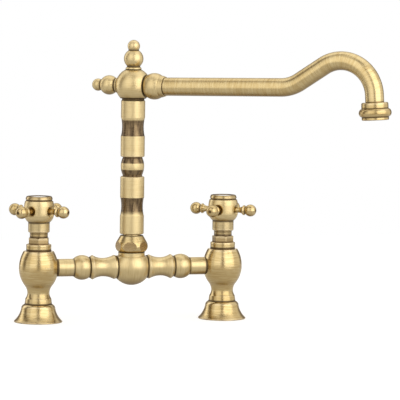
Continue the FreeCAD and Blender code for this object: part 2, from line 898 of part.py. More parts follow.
# ---- spout, drawn in the XZ plane and then turned to its heading ----
def spout_collar():
    edge = ball_offset(collar_radius, collar_edge_radius)
    start = collar_seat - collar_centre
    edge_end = collar_centre + edge + collar_edge_width
    port_end = collar_end - spout_socket_depth + MARGIN
    spigot = cylinder(collar_spigot_radius, collar_seat - collar_spigot_length, collar_seat)
    collar = turned(
        (0, collar_seat),
        (math.sqrt(collar_radius ** 2 - start ** 2), collar_seat),
        ball_arc(collar_radius, collar_centre, start, edge),
        (collar_edge_radius, edge_end),
        (collar_end_radius, collar_end),
        (0, collar_end))
    collar = collar.fuse(spigot)
    collar = collar.cut(cylinder(head_port_radius, collar_seat - collar_spigot_length, port_end))
    start, direction = spout_start()
    socket = Part.makeCylinder(spout_tube_radius + fit_gap, spout_socket_depth + MARGIN, start, direction)
    return aimed(collar, head_centre(), OUT).cut(socket)


def climbing(angle):
    """Direction in the spout's plane that rises at the angle."""
    turn = math.radians(angle)
    return FreeCAD.Vector(math.cos(turn), 0, math.sin(turn))


def spout_start():
    """End of the tube inside the collar, and the way that its first run points."""
    direction = climbing(spout_run_tilt)
    return head_centre() + OUT * collar_end - direction * spout_socket_depth, direction


def arch_centre():
    return FreeCAD.Vector(spout_arch_reach, 0, head_height - spout_arch_drop)


def spout_end():
    """End of the arch's centreline, and the way that the nozzle points."""
    return arch_centre() + climbing(spout_end_tilt) * spout_arch_radius, climbing(spout_end_tilt - 90)


def spout_rod(radius):
    """Solid rod along the centreline: tilted run, bend, climb tangent to the arch, arch and drop."""
    start, run = spout_start()
    across_run = climbing(spout_run_tilt + 90)
    slope = climbing(spout_rise)
    arch_start = arch_centre() + climbing(spout_rise + 90) * spout_arch_radius
    arch_stop, direction = spout_end()
    turn = spout_rise - spout_run_tilt
    climb_length = (arch_start - start).dot(across_run) / math.sin(math.radians(turn))
    corner = arch_start - slope * climb_length
    tangent = spout_bend_radius * math.tan(math.radians(turn) / 2)
    bend_start = corner - run * tangent
    bend_end = corner + slope * tangent
    straight = Part.makeCylinder(radius, (bend_start - start).Length, start, run)
    section = Part.Face(Part.Wire(Part.makeCircle(radius, bend_start, run)))
    bend = section.revolve(bend_start + across_run * spout_bend_radius, FreeCAD.Vector(0, -1, 0), turn)
    climb = Part.makeCylinder(radius, (arch_start - bend_end).Length, bend_end, slope)
    section = Part.Face(Part.Wire(Part.makeCircle(radius, arch_start, slope)))
    arch = section.revolve(arch_centre(), FreeCAD.Vector(0, 1, 0), 90 + spout_rise - spout_end_tilt)
    drop = Part.makeCylinder(radius, spout_end_length, arch_stop, direction)
    return straight.fuse([bend, climb, arch, drop])


def spout_tube():
    return spout_rod(spout_tube_radius).cut(spout_rod(spout_tube_radius - spout_tube_wall))


def at_nozzle(shape):
    """Sets a shape made along Z at the spout's end, with height zero at the nozzle's top."""
    end, direction = spout_end()
    top = end + direction * (spout_end_length - nozzle_socket_depth)
    return aimed(shape, top, direction)


def nozzle_body():
    ring_bottom = nozzle_top_height + nozzle_ring_height
    top_edge = (nozzle_top_radius - nozzle_top_round, 0)
    top_side = (nozzle_top_radius, nozzle_top_round)
    ring_foot = (nozzle_top_radius + nozzle_top_round / 2, nozzle_top_height)
    ring_middle = (nozzle_ring_radius, nozzle_top_height + nozzle_ring_height / 2)
    thread_top = ring_bottom - nozzle_thread_height
    body = turned(
        (0, 0),
        top_edge,
        rounded(top_edge, top_side),
        (nozzle_top_radius, nozzle_top_height),
        ring_foot,
        (ring_middle, (ring_foot[0], ring_bottom)),
        (0, ring_bottom))
    body = body.cut(cylinder(spout_tube_radius + fit_gap, 0, nozzle_socket_depth))
    body = body.cut(cylinder(spout_tube_radius - spout_tube_wall, 0, ring_bottom))
    return at_nozzle(body.cut(cylinder(nozzle_thread_radius + fit_gap, thread_top, ring_bottom)))


def aerator_housing():
    ring_bottom = nozzle_top_height + nozzle_ring_height
    rim_bottom = ring_bottom + aerator_rim_height
    thread_top = ring_bottom - nozzle_thread_height + aerator_seal_thickness
    return at_nozzle(turned(
        (aerator_bore_radius, thread_top),
        (nozzle_thread_radius, thread_top),
        (nozzle_thread_radius, ring_bottom),
        (aerator_rim_radius, ring_bottom),
        (aerator_rim_radius, rim_bottom - aerator_rim_chamfer),
        (aerator_rim_radius - aerator_rim_chamfer, rim_bottom),
        (aerator_bore_radius, rim_bottom)))


def aerator_seal():
    top = nozzle_top_height + nozzle_ring_height - nozzle_thread_height
    return at_nozzle(ring(spout_tube_radius, nozzle_thread_radius, top, top + aerator_seal_thickness))


def aerator_screen():
    """Disc with rings of round holes, set back inside the housing's rim."""
    bottom = nozzle_top_height + nozzle_ring_height + aerator_rim_height - screen_recess
    top = bottom - screen_thickness
    screen = cylinder(aerator_bore_radius - fit_gap, top, bottom)
    holes = [cylinder(screen_hole_radius, top, bottom)]
    for k in range(1, screen_rings + 1):
        for place in range(6 * k):
            angle = 2 * math.pi * place / (6 * k)
            hole = cylinder(screen_hole_radius, top, bottom)
            hole.translate(FreeCAD.Vector(math.cos(angle), math.sin(angle), 0) * screen_hole_pitch * k)
            holes.append(hole)
    return at_nozzle(screen.cut(holes))


# ---- assembly ----
def pillar_nodes(side, inward, arm_heading, hex_heading):
    """Nodes of one pillar: side names it, inward is the heading of its bridge port."""
    fixed = {
        "inlet_socket": inlet_socket(),
        "base_bell": base_bell(),
        "base_gasket": base_gasket(),
        "pillar_body": headed(pillar_body(), inward),
        "seat_washer": seat_washer(),
        "cartridge_bonnet": cartridge_bonnet(hex_heading),
        "fixed_disc": fixed_disc()}
    turning = {
        "moving_disc": moving_disc(),
        "spindle": spindle(),
        "spindle_o_rings": spindle_o_rings(),
        "spindle_clip": spindle_clip(),
        "handle_hub": handle_hub(arm_heading),
        "handle_arms": handle_arms(arm_heading),
        "index_ring": index_ring(),
        "index_disc": index_disc(),
        "handle_screw": handle_screw()}
    offset = -math.cos(math.radians(inward)) * inlet_spacing / 2
    nodes = {}
    for name, shape in {**fixed, **turning}.items():
        shape.translate(FreeCAD.Vector(offset, 0, 0))
        nodes[side + "_" + name] = shape
    outward = FreeCAD.Vector(math.copysign(1, offset), 0, 0)
    centre = FreeCAD.Vector(0, 0, bridge_height)
    nodes[side + "_bridge_arm"] = aimed(bridge_arm(), centre, outward)
    nodes[side + "_bridge_sleeve"] = aimed(bridge_sleeve(), centre, outward)
    nodes[side + "_bridge_o_ring"] = aimed(bridge_o_ring(), centre, outward)
    return nodes


def centre_nodes():
    return {
        "tee_body": tee_body(),
        "lower_slip_ring": lower_slip_ring(),
        "upper_slip_ring": upper_slip_ring(),
        "swivel_nut": swivel_nut(),
        "column_stem": column_stem(),
        "stem_o_rings": stem_o_rings(),
        "column_lower": column_lower(),
        "column_bead": column_bead(),
        "column_upper": column_upper()}


def spout_nodes():
    pieces = {
        "head_ball": head_ball(),
        "top_finial": top_finial(),
        "side_finial": side_finial(),
        "spout_collar": spout_collar(),
        "spout_tube": spout_tube(),
        "nozzle_body": nozzle_body(),
        "aerator_housing": aerator_housing(),
        "aerator_seal": aerator_seal(),
        "aerator_screen": aerator_screen()}
    return {name: headed(shape, spout_heading) for name, shape in pieces.items()}


def main():
    os.makedirs("parts", exist_ok=True)
    nodes = {}
    nodes.update(pillar_nodes("left", 0, left_arm_heading, left_hex_heading))
    nodes.update(pillar_nodes("right", 180, right_arm_heading, right_hex_heading))
    nodes.update(centre_nodes())
    nodes.update(spout_nodes())
    for name, shape in nodes.items():
        shape.exportStep("parts/" + name + ".step")
        print(name, len(shape.Solids), round(shape.Volume, 1), shape.isValid())


main()
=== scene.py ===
import bmesh
import bpy
import math
import numpy as np
from mathutils import Matrix, Vector


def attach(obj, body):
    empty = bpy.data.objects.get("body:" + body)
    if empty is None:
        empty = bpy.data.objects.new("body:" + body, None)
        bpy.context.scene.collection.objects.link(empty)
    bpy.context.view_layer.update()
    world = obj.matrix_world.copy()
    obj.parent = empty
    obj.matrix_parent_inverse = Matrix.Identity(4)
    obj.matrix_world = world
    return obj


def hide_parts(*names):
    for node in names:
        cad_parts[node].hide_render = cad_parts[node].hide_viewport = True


# Looks of a bridge kitchen faucet in brushed antique brass.
# The shapes are worked out in millimetres, in the frame of the CAD, and written to the meshes in metres.

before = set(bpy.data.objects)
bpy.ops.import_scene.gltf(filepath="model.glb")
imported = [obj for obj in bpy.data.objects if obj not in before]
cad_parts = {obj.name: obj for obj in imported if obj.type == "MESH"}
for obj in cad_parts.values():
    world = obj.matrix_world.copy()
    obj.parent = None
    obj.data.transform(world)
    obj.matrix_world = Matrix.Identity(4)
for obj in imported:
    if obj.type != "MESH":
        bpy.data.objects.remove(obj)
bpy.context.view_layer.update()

MM = 0.001

# ---- places and headings, as in the CAD ----
PILLAR_X = 90.0
BRIDGE_Z = 51.0
BELL_TOP = 16.8
SHOULDER = 67.2
COLLAR_TOP = 73.8
HEX_TOP = 79.8
SKIRT_BOTTOM = 84.8
HUB_BOTTOM = 94.6
ARM_Z = 105.1
HUB_TOP = 114.6
TEE_FLAT = 61.3
NUT_BOTTOM = 65.5
NUT_TOP = 81.2
COLUMN_BOTTOM = 82.5
BEAD_BOTTOM = 137.2
BEAD_TOP = 155.9
COLUMN_TOP = 209.6
HEAD_BOTTOM = 211.2
HEAD_Z = 223.3
SPOUT_HEADING = -40.2
ARM_HEADING = {"left": -47.4, "right": -37.7}
HEX_HEADING = {"left": -75.2, "right": -58.2}
NUT_HEADING = 10.6

TUBE_RADIUS = 8.6
COLLAR_END = 33.6
RUN_TILT = 1.24
BEND_RADIUS = 36.0
CLIMB = 32.6
ARCH_RADIUS = 32.6
ARCH_REACH = 212.1
ARCH_Z = 219.3
END_TILT = 3.5
DROP = 11.45
NOZZLE_LAP = 5.0
SOCKET_DEPTH = 13.0

# ---- sizes that neighbouring pieces share, in mm ----
BELLY_RADIUS = 18.6
TEE_HALF = 14.6
TEE_END_RADIUS = 10.7
TEE_RADIUS = 17.4
SLEEVE_END = 41.1
BRIDGE_BALL_AT = 48.2
BRIDGE_BALL_RADIUS = 11.75
ARM_COUNT = 4
ARM_BALL_AT = 28.0
ARM_BALL_RADIUS = 5.75
NUT_HALF_WIDTH = 14.1
HEX_HALF_WIDTH = 9.15
HEX_CORNER_RADIUS = 10.35
COLUMN_RADIUS = 11.4
COLUMN_BORE = 7.55
WAIST_LENGTH = 17.2
HEAD_RADIUS = 17.0
HEAD_DEPTH = 12.1
FINIAL_RING_RADIUS = 7.4
FINIAL_SEAT = math.sqrt(HEAD_RADIUS ** 2 - FINIAL_RING_RADIUS ** 2)
FINIAL_BALL_AT = 25.5
FINIAL_BALL_RADIUS = 9.25
TIP_BALL_AT = 37.4
TIP_BALL_RADIUS = 5.85
COLLAR_SEAT = 14.0
COLLAR_BALL_AT = 22.3
COLLAR_BALL_RADIUS = 12.5
TUBE_WALL = 1.1

UP = np.array([0.0, 0.0, 1.0])
FACES = 96
POINT_STEP = 0.45
EDGE = 0.22


# ---- outlines: a list of (radius, height), in mm ----
def arc_points(start, end, bow):
    """Circle through start and end whose middle lies bow to the right of the way from start to end."""
    start, end = np.array(start, float), np.array(end, float)
    chord = np.linalg.norm(end - start)
    along = (end - start) / chord
    right = np.array([along[1], -along[0]])
    turn = 4 * math.atan(2 * bow / chord)
    radius = chord / (2 * math.sin(turn / 2))
    count = max(4, int(abs(turn * radius) / POINT_STEP))
    angle = turn * (np.linspace(0, 1, count + 1) - 0.5)
    forward = chord / 2 + radius * np.sin(angle)
    aside = radius * (np.cos(angle) - math.cos(turn / 2))
    return start + forward[:, None] * along + aside[:, None] * right


def line_points(start, end):
    """Evenly spaced points on the straight line from start to end."""
    start, end = np.array(start, float), np.array(end, float)
    count = max(1, int(np.linalg.norm(end - start) / (2 * POINT_STEP)))
    return start + np.linspace(0, 1, count + 1)[:, None] * (end - start)


def step_points(here, step):
    """Points of one step: (radius, height), or with "leave", "arrive", "round", ("bow", rise) or ("ball", centre).

    "leave" is the arc that starts parallel to the axis, "arrive" the one that ends so, "round" a quarter circle's
    bulge, and "ball" an arc of the circle centred on the axis at the given height.
    """
    there = step[:2]
    if len(step) == 2:
        return line_points(here, there)
    chord = math.dist(here, there)
    kind = step[2]
    lean = math.atan2(there[0] - here[0], abs(there[1] - here[1]))
    if kind == "leave":
        bow = -chord / 2 * math.tan(lean / 2)
    elif kind == "arrive":
        bow = chord / 2 * math.tan(lean / 2)
    elif kind == "round":
        bow = chord * math.tan(math.pi / 8) / 2
    elif kind[0] == "ball":
        radius = math.hypot(there[0], there[1] - kind[1])
        bow = radius - math.sqrt(radius ** 2 - chord ** 2 / 4)
    else:
        bow = kind[1]
    return arc_points(here, there, bow)


def trimmed(points, distance, at_end):
    """The points without the last, or first, distance of their length."""
    points = points if at_end else points[::-1]
    steps = np.linalg.norm(np.diff(points, axis=0), axis=1)
    travel = np.concatenate([[0], np.cumsum(steps)])
    stop = travel[-1] - min(distance, travel[-1] * 0.4)
    keep = points[travel < stop - 1e-6]
    last = [np.interp(stop, travel, points[:, k]) for k in range(2)]
    points = np.vstack([keep, last])
    return points if at_end else points[::-1]


def outline(start, *steps, edge=EDGE, closed=False):
    """Joins the steps, and rounds each corner between them with a small parabola, as polishing does."""
    runs = []
    here = start
    for step in steps:
        runs.append(step_points(here, step))
        here = step[:2]
    if closed:
        runs.append(line_points(here, start))
    joints = len(runs) if closed else len(runs) - 1
    pieces = [run.copy() for run in runs]
    corners = {}
    for k in range(joints):
        before, after = runs[k], runs[(k + 1) % len(runs)]
        arriving = before[-1] - before[-2]
        leaving = after[1] - after[0]
        bend = arriving @ leaving / (np.linalg.norm(arriving) * np.linalg.norm(leaving))
        if bend < 0.97:
            corners[k] = before[-1]
    for k, corner in corners.items():
        nearby = (k + 1) % len(runs)
        pieces[k] = trimmed(pieces[k], edge, True)
        pieces[nearby] = trimmed(pieces[nearby], edge, False)
    path = []
    for k, piece in enumerate(pieces):
        path.append(piece if k == 0 else piece[0 if k - 1 in corners else 1:])
        if k in corners:
            first, last = piece[-1], pieces[(k + 1) % len(pieces)][0]
            share = np.array([0.25, 0.5, 0.75])[:, None]
            path.append((1 - share) ** 2 * first + 2 * share * (1 - share) * corners[k] + share ** 2 * last)
    path = np.vstack(path)
    if closed and np.linalg.norm(path[0] - path[-1]) < 1e-6:
        path = path[:-1]
    return path


# ---- surfaces: grids of points, rows along the outline and columns around it ----
def spun(path, columns=FACES):
    """Surface of revolution: each outline point (r, z) goes to (r cos a, r sin a, z) for every angle a."""
    angle = np.linspace(0, 2 * math.pi, columns, endpoint=False)
    radius, height = path[:, 0][:, None], path[:, 1][:, None]
    return np.stack([radius * np.cos(angle), radius * np.sin(angle), height + 0 * angle], axis=-1)


def set_at(grid, origin, direction):
    """Turns a grid made along Z by the shortest way to direction, and moves it to origin."""
    turn = np.array(Vector((0, 0, 1)).rotation_difference(Vector(direction)).to_matrix())
    return grid @ turn.T + np.array(origin, float)


def heading(angle):
    """Unit vector in the deck plane at the angle from +X, in degrees."""
    return np.array([math.cos(math.radians(angle)), math.sin(math.radians(angle)), 0.0])


def climbing(angle):
    """Unit vector in the spout's upright plane that rises at the angle, in degrees."""
    turn = math.radians(angle)
    return heading(SPOUT_HEADING) * math.cos(turn) + UP * math.sin(turn)


def prism_cut(grid, half_width, face_heading, corner_radius, low, high):
    """Limits the radius between two heights to a hexagon: r = min(r, half_width / cos(angle from a flat))."""
    angle = np.arctan2(grid[..., 1], grid[..., 0]) - math.radians(face_heading)
    from_flat = np.abs((angle + math.pi / 6) % (math.pi / 3) - math.pi / 6)
    radius = np.hypot(grid[..., 0], grid[..., 1])
    limit = np.minimum(half_width / np.cos(from_flat), corner_radius)
    inside = (grid[..., 2] > low) & (grid[..., 2] < high) & (radius > limit)
    scale = np.where(inside, limit / np.maximum(radius, 1e-6), 1)
    cut = grid.copy()
    cut[..., :2] *= scale[..., None]
    return cut, inside & (limit < corner_radius - 1e-6)


def flattened(grid, normal, limit):
    """Moves what lies beyond the plane (point . normal = limit) onto it, along the normal."""
    beyond = np.maximum(grid @ normal - limit, 0)
    return grid - beyond[..., None] * normal


def dimpled(grid, centre, direction, rim, floor, depth):
    """Presses a round dimple: the depth grows evenly from the rim's radius in to the floor's radius."""
    offset = grid - centre
    ahead = offset @ direction
    aside = np.linalg.norm(offset - ahead[..., None] * direction, axis=-1)
    share = np.clip((rim - aside) / (rim - floor), 0, 1) * (ahead > 0)
    return grid - (share * depth)[..., None] * direction


# ---- relief: where a stack of pieces stands out or falls back ----
def envelope(paths):
    """Outer radius of a stack at evenly spaced heights."""
    low = min(path[:, 1].min() for path in paths)
    high = max(path[:, 1].max() for path in paths)
    heights = np.arange(low - 6, high + 6, 0.1)
    outside = np.zeros_like(heights)
    for path in paths:
        share = np.linspace(0, 1, 12, endpoint=False)[:, None, None]
        dense = (path[:-1] + share * np.diff(path, axis=0)).reshape(-1, 2)
        index = np.clip(((dense[:, 1] - heights[0]) / 0.1).round().astype(int), 0, len(heights) - 1)
        np.maximum.at(outside, index, dense[:, 0])
    return heights, outside


def relief_along(paths, path, reach=1.5):
    """Height of a piece's surface above the stack's own average over a few mm: less than 0 in grooves."""
    heights, outside = envelope(paths)
    filled = np.where(outside > 0, outside, np.nan)
    known = ~np.isnan(filled)
    filled = np.interp(heights, heights[known], filled[known])
    kernel = np.exp(-0.5 * (np.arange(-5 * reach, 5 * reach + 0.05, 0.1) / reach) ** 2)
    pad = len(kernel) // 2
    average = np.convolve(np.pad(filled, pad, mode="edge"), kernel / kernel.sum(), mode="valid")[:len(heights)]
    stand = np.interp(path[:, 1], heights, filled - average)
    hidden = np.interp(path[:, 1], heights, filled) - path[:, 0]
    return stand - 0.35 * np.maximum(hidden, 0)


# ---- meshes ----
class Shell:
    """One closed surface of a piece, with the values that its material reads."""

    def __init__(self, grid, relief, loop=False, stain=0.0, flat=0.0, axis_grid=None):
        rows, columns = grid.shape[:2]
        self.grid = grid
        self.loop = loop
        self.relief = np.broadcast_to(np.asarray(relief, float), (columns, rows)).T if np.ndim(relief) < 2 else relief
        self.stain = np.broadcast_to(np.asarray(stain, float), (columns, rows)).T if np.ndim(stain) < 2 else stain
        self.flat = np.broadcast_to(np.asarray(flat, float), (rows, columns))
        steps = np.linalg.norm(np.diff(grid, axis=0), axis=-1).mean(axis=1)
        travel = np.concatenate([[0], np.cumsum(steps)])
        source = grid if axis_grid is None else axis_grid
        self.grain = np.stack([source[..., 0], source[..., 1], np.broadcast_to(travel[:, None], (rows, columns))], -1)


def faces_of(rows, columns, loop):
    """Quads between neighbouring rows and columns; the columns always close, and the rows do for a loop."""
    row = np.arange(rows if loop else rows - 1)[:, None]
    column = np.arange(columns)[None, :]
    above, beside = (row + 1) % rows, (column + 1) % columns
    corners = (row * columns + column, row * columns + beside, above * columns + beside, above * columns + column)
    return np.stack(np.broadcast_arrays(*corners), axis=-1).reshape(-1, 4)


def make_piece(name, shells, nodes, body, material, crease=32):
    """Mesh of one or more shells, merged at the poles, smooth but for its sharp edges, in place of CAD nodes."""
    points, faces, values = [], [], {"relief": [], "stain": [], "flat": [], "grain": []}
    start = 0
    for shell in shells:
        rows, columns = shell.grid.shape[:2]
        points.append(shell.grid.reshape(-1, 3) * MM)
        faces.append(faces_of(rows, columns, shell.loop) + start)
        start += rows * columns
        for key in ("relief", "stain", "flat"):
            values[key].append(np.asarray(getattr(shell, key), float).reshape(-1))
        values["grain"].append(shell.grain.reshape(-1, 3))
    points, faces = np.vstack(points), np.vstack(faces)
    mesh = bpy.data.meshes.new(name)
    mesh.from_pydata(points, [], faces.tolist())
    for key, parts in values.items():
        kind, field = ("FLOAT_VECTOR", "vector") if key == "grain" else ("FLOAT", "value")
        layer = mesh.attributes.new(key, kind, "POINT")
        layer.data.foreach_set(field, np.concatenate(parts).astype(np.float32).ravel())
    cleaner = bmesh.new()
    cleaner.from_mesh(mesh)
    bmesh.ops.remove_doubles(cleaner, verts=cleaner.verts, dist=2e-6)
    bmesh.ops.dissolve_degenerate(cleaner, edges=cleaner.edges, dist=1e-7)
    cleaner.to_mesh(mesh)
    cleaner.free()
    normals = np.zeros(len(mesh.vertices) * 3, np.float32)
    mesh.vertices.foreach_get("normal", normals)
    # the share of each point's normal that looks at the deck, which the brass darkens as painted shade on undersides
    below = mesh.attributes.new("facing_down", "FLOAT", "POINT")
    below.data.foreach_set("value", np.maximum(-normals[2::3], 0))
    mesh.polygons.foreach_set("use_smooth", np.ones(len(mesh.polygons), bool))
    mesh.set_sharp_from_angle(angle=math.radians(crease))
    piece = bpy.data.objects.new(name, mesh)
    bpy.context.scene.collection.objects.link(piece)
    piece.data.materials.append(material)
    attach(piece, body)
    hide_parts(*nodes)
    return piece


# ---- materials ----
class Wire:
    """A node's output.  Sums and products of wires and numbers add their Math nodes."""

    def __init__(self, tree, source):
        self.tree = tree
        self.source = source

    def calc(self, operation, first, second):
        return add_node(self.tree, "ShaderNodeMath", {"operation": operation}, {0: first, 1: second})

    def __add__(self, other):
        return self.calc("ADD", self, other)

    __radd__ = __add__

    def __sub__(self, other):
        return self.calc("SUBTRACT", self, other)

    def __rsub__(self, other):
        return self.calc("SUBTRACT", other, self)

    def __mul__(self, other):
        return self.calc("MULTIPLY", self, other)

    __rmul__ = __mul__

    def absolute(self):
        return self.calc("ABSOLUTE", self, 0.0)

    def smooth(self, low, high):
        """0 below low, 1 above high, and a soft step between them."""
        settings = {"interpolation_type": "SMOOTHSTEP"}
        return add_node(self.tree, "ShaderNodeMapRange", settings, {0: self, 1: low, 2: high})

    def scaled(self, factors):
        """The vector with each component multiplied by its own factor."""
        return add_node(self.tree, "ShaderNodeVectorMath", {"operation": "MULTIPLY"}, {0: self, 1: factors})


def add_node(tree, kind, settings=None, values=None, output=0):
    """Adds one node: its settings first, then the values or wires of its sockets."""
    node = tree.nodes.new(kind)
    for name, value in (settings or {}).items():
        setattr(node, name, value)
    for key, value in (values or {}).items():
        if isinstance(value, Wire):
            tree.links.new(value.source, node.inputs[key])
        else:
            node.inputs[key].default_value = value
    return Wire(tree, node.outputs[output])


def blended(tree, share, first, second):
    """Colour that goes from first to second as share goes from 0 to 1."""
    first, second = (c if isinstance(c, Wire) else (*c, 1.0) for c in (first, second))
    return add_node(tree, "ShaderNodeMix", {"data_type": "RGBA"}, {0: share, 6: first, 7: second}, output=2)


def noise(tree, place, scale, detail=3.0, roughness=0.5):
    values = {"Vector": place, "Scale": scale, "Detail": detail, "Roughness": roughness}
    return add_node(tree, "ShaderNodeTexNoise", {}, values)


def attribute(tree, name, output=2):
    return add_node(tree, "ShaderNodeAttribute", {"attribute_name": name}, {}, output)


def ray_is(tree, kind):
    """1 for rays of one kind: Camera, Glossy or Transmission."""
    return add_node(tree, "ShaderNodeLightPath", {}, {}, output=f"Is {kind} Ray")


def new_material(name, fixed, varying):
    """Principled material: fixed numbers on its own sockets, and a function that gives the varying inputs."""
    material = bpy.data.materials.new(name)
    material.use_nodes = True
    tree = material.node_tree
    surface = next(node for node in tree.nodes if node.type == "BSDF_PRINCIPLED")
    for key, value in fixed.items():
        surface.inputs[key].default_value = value
    for key, wire in varying(tree).items():
        tree.links.new(wire.source, surface.inputs[key])
    return material


BRASS_LIGHT = (0.72, 0.58, 0.315)
BRASS_MID = (0.52, 0.375, 0.16)
BRASS_WORN_AND_PAINTED_HIGHLIGHT = (0.76, 0.62, 0.38)
BRASS_PAINTED_UNDERSIDE_SHADE = (0.20, 0.125, 0.05)
BRASS_DULL = (0.34, 0.23, 0.11)
PATINA_AND_PAINTED_SHADE = (0.065, 0.038, 0.018)
STAIN = (0.075, 0.047, 0.030)
STAIN_PALE = (0.25, 0.175, 0.095)
MACHINED_DARK = (0.58, 0.42, 0.20)
MACHINED_LIGHT = (0.74, 0.58, 0.31)

# how often the brushing's noise repeats per mm: across the piece twice, then along its outline
HAIR = (0.10, 0.10, 2.6)
STROKE = (0.06, 0.06, 0.9)
STREAK = (0.35, 0.35, 0.05)
# the same per metre, for noise on Object coordinates
CLOUD = 60.0
MACHINED_CLOUD = 70.0
SOLID_CLOUD = 90.0
SPECK = 900.0
FEED_LINES = (60.0, 60.0, 2400.0)
BRUSH_DEPTH = 0.00022
FINE_DEPTH = 0.00004
STAINED_ROUGHNESS = 0.26


def brushed_brass(name, tone=0.0, line=1.0, rough=0.2):
    """Old gold with brush lines round each piece, brown patina with painted shade in its grooves and at joins,
    painted shade on its undersides, and paler raised edges from wear with a painted highlight.

    tone shifts the body from the darker brass to the lighter, and line spreads the brush lines.
    """
    def brushing(grain, scale, detail, roughness=0.5):
        across, _, along = scale
        return noise(grain.tree, grain.scaled((across, across, along / line)), 1.0, detail, roughness)

    def varying(tree):
        grain = attribute(tree, "grain", output=1)
        relief = attribute(tree, "relief")
        stain = attribute(tree, "stain")
        flat = attribute(tree, "flat")
        place = add_node(tree, "ShaderNodeTexCoord", {}, {}, output=3)
        hair = brushing(grain, HAIR, 2.0)
        stroke = brushing(grain, STROKE, 3.0, 0.6)
        cloud = noise(tree, place, CLOUD, 3.0)
        speck = noise(tree, place, SPECK, 2.0)
        brush = hair * 0.6 + stroke * 0.4
        body = blended(tree, (brush * 0.7 + cloud * 0.3 + tone).smooth(0.34, 0.66), BRASS_MID, BRASS_LIGHT)
        # groove: patina and painted shade where the surface lies below its neighbours, in grooves, pits and joins
        # between pieces
        groove = (relief * -1.0 + (brush - 0.5) * 0.2 + (cloud - 0.5) * 0.15).smooth(0.08, 0.50)
        # below: painted shade on downward-facing brass, darker the more the surface faces the deck
        below = (attribute(tree, "facing_down") + (cloud - 0.5) * 0.2).smooth(0.35, 1.05)
        body = blended(tree, below * 0.9, body, BRASS_PAINTED_UNDERSIDE_SHADE)
        body = blended(tree, groove * 0.9, body, PATINA_AND_PAINTED_SHADE)
        browned = (stain + (brush - 0.5) * 0.5 + (cloud - 0.5) * 0.25).smooth(0.25, 0.75) * stain.smooth(0.0, 0.2)
        streaks = noise(tree, grain.scaled(STREAK), 1.0, 3.0, 0.6) * 0.8 + hair * 0.2
        streaked = blended(tree, streaks.smooth(0.36, 0.62), STAIN, STAIN_PALE)
        body = blended(tree, browned * 0.95, body, streaked)
        body = blended(tree, flat * (0.85 + (speck - 0.5) * 0.4), body, BRASS_DULL)
        # paler where the surface stands out: real wear and a painted highlight
        wear_and_highlight = (relief + (brush - 0.5) * 0.2).smooth(0.08, 0.4)
        body = blended(tree, wear_and_highlight * 0.5, body, BRASS_WORN_AND_PAINTED_HIGHLIGHT)
        dull = rough + (brush - 0.5) * 0.12 + groove * 0.2 + browned * (STAINED_ROUGHNESS - rough) + flat * 0.06
        height = hair * 0.8 + stroke * 0.15 + speck * 0.05
        bump = add_node(tree, "ShaderNodeBump", {}, {"Strength": 0.5, "Distance": BRUSH_DEPTH, "Height": height})
        return {"Base Color": body, "Roughness": dull, "Normal": bump}
    return new_material(name, {"Metallic": 1.0}, varying)


def machined_brass(name):
    """Bare brass as it leaves the lathe, with fine feed lines."""
    def varying(tree):
        place = add_node(tree, "ShaderNodeTexCoord", {}, {}, output=3)
        feed = noise(tree, place.scaled(FEED_LINES), 1.0, 2.0)
        cloud = noise(tree, place, MACHINED_CLOUD, 3.0)
        body = blended(tree, (feed * 0.6 + cloud * 0.4).smooth(0.35, 0.65), MACHINED_DARK, MACHINED_LIGHT)
        bump = add_node(tree, "ShaderNodeBump", {}, {"Strength": 0.3, "Distance": FINE_DEPTH, "Height": feed})
        return {"Base Color": body, "Roughness": 0.3 + feed * 0.12, "Normal": bump}
    return new_material(name, {"Metallic": 1.0}, varying)


def dull_solid(name, first, second, rough, grain, strength, **fixed):
    """Plain finish whose colour clouds from first to second; grain is the fine surface's scale per metre."""
    def varying(tree):
        place = add_node(tree, "ShaderNodeTexCoord", {}, {}, output=3)
        cloud = noise(tree, place, SOLID_CLOUD, 3.0)
        fine = noise(tree, place, grain, 2.0)
        body = blended(tree, (cloud * 0.6 + fine * 0.4).smooth(0.3, 0.7), first, second)
        bump = add_node(tree, "ShaderNodeBump", {}, {"Strength": strength, "Distance": FINE_DEPTH, "Height": fine})
        return {"Base Color": body, "Roughness": rough + (fine - 0.5) * 0.1, "Normal": bump}
    return new_material(name, fixed, varying)


brass = brushed_brass("brushed_antique_brass", tone=-0.03)
satin_brass = brushed_brass("satin_antique_brass", tone=0.09, rough=0.34)
spout_brass = brushed_brass("brushed_spout_brass", tone=0.02, line=1.4, rough=0.24)
column_brass = brushed_brass("patinated_column_brass", tone=0.12, rough=0.40)
inner_brass = machined_brass("machined_brass")
porcelain = dull_solid("white_porcelain", (0.80, 0.79, 0.75), (0.86, 0.855, 0.82), 0.12, 500.0, 0.05,
                       **{"Coat Weight": 0.6, "Coat Roughness": 0.05})
ceramic = dull_solid("lapped_ceramic", (0.78, 0.77, 0.73), (0.86, 0.85, 0.82), 0.45, 1500.0, 0.2)
rubber = dull_solid("black_rubber", (0.018, 0.018, 0.018), (0.035, 0.034, 0.033), 0.62, 1200.0, 0.4)
slip_plastic = dull_solid("slip_ring_plastic", (0.74, 0.74, 0.72), (0.82, 0.82, 0.80), 0.4, 900.0, 0.15)
screen_plastic = dull_solid("aerator_screen_plastic", (0.66, 0.66, 0.64), (0.76, 0.76, 0.74), 0.3, 900.0, 0.12)
steel = dull_solid("plain_steel", (0.50, 0.50, 0.49), (0.62, 0.62, 0.61), 0.32, 1800.0, 0.2, Metallic=1.0)


# ---- outlines of the pieces, each stack about its own axis ----
def bell_outline():
    """Bell base: a curve that falls outwards from the top to a thin foot, with a gasket's groove underneath."""
    return outline(
        (8.55, 15.0), (12.3, 15.0), (16.6, 0.0, ("bow", 1.35)), (17.35, 0.0), (17.35, 1.8), (20.45, 1.8),
        (20.45, 0.0), (22.8, 0.0), (22.8, 1.0), (16.0, 13.8, ("bow", -1.35)), (13.4, BELL_TOP, ("bow", 0.45)),
        (8.55, BELL_TOP), closed=True)


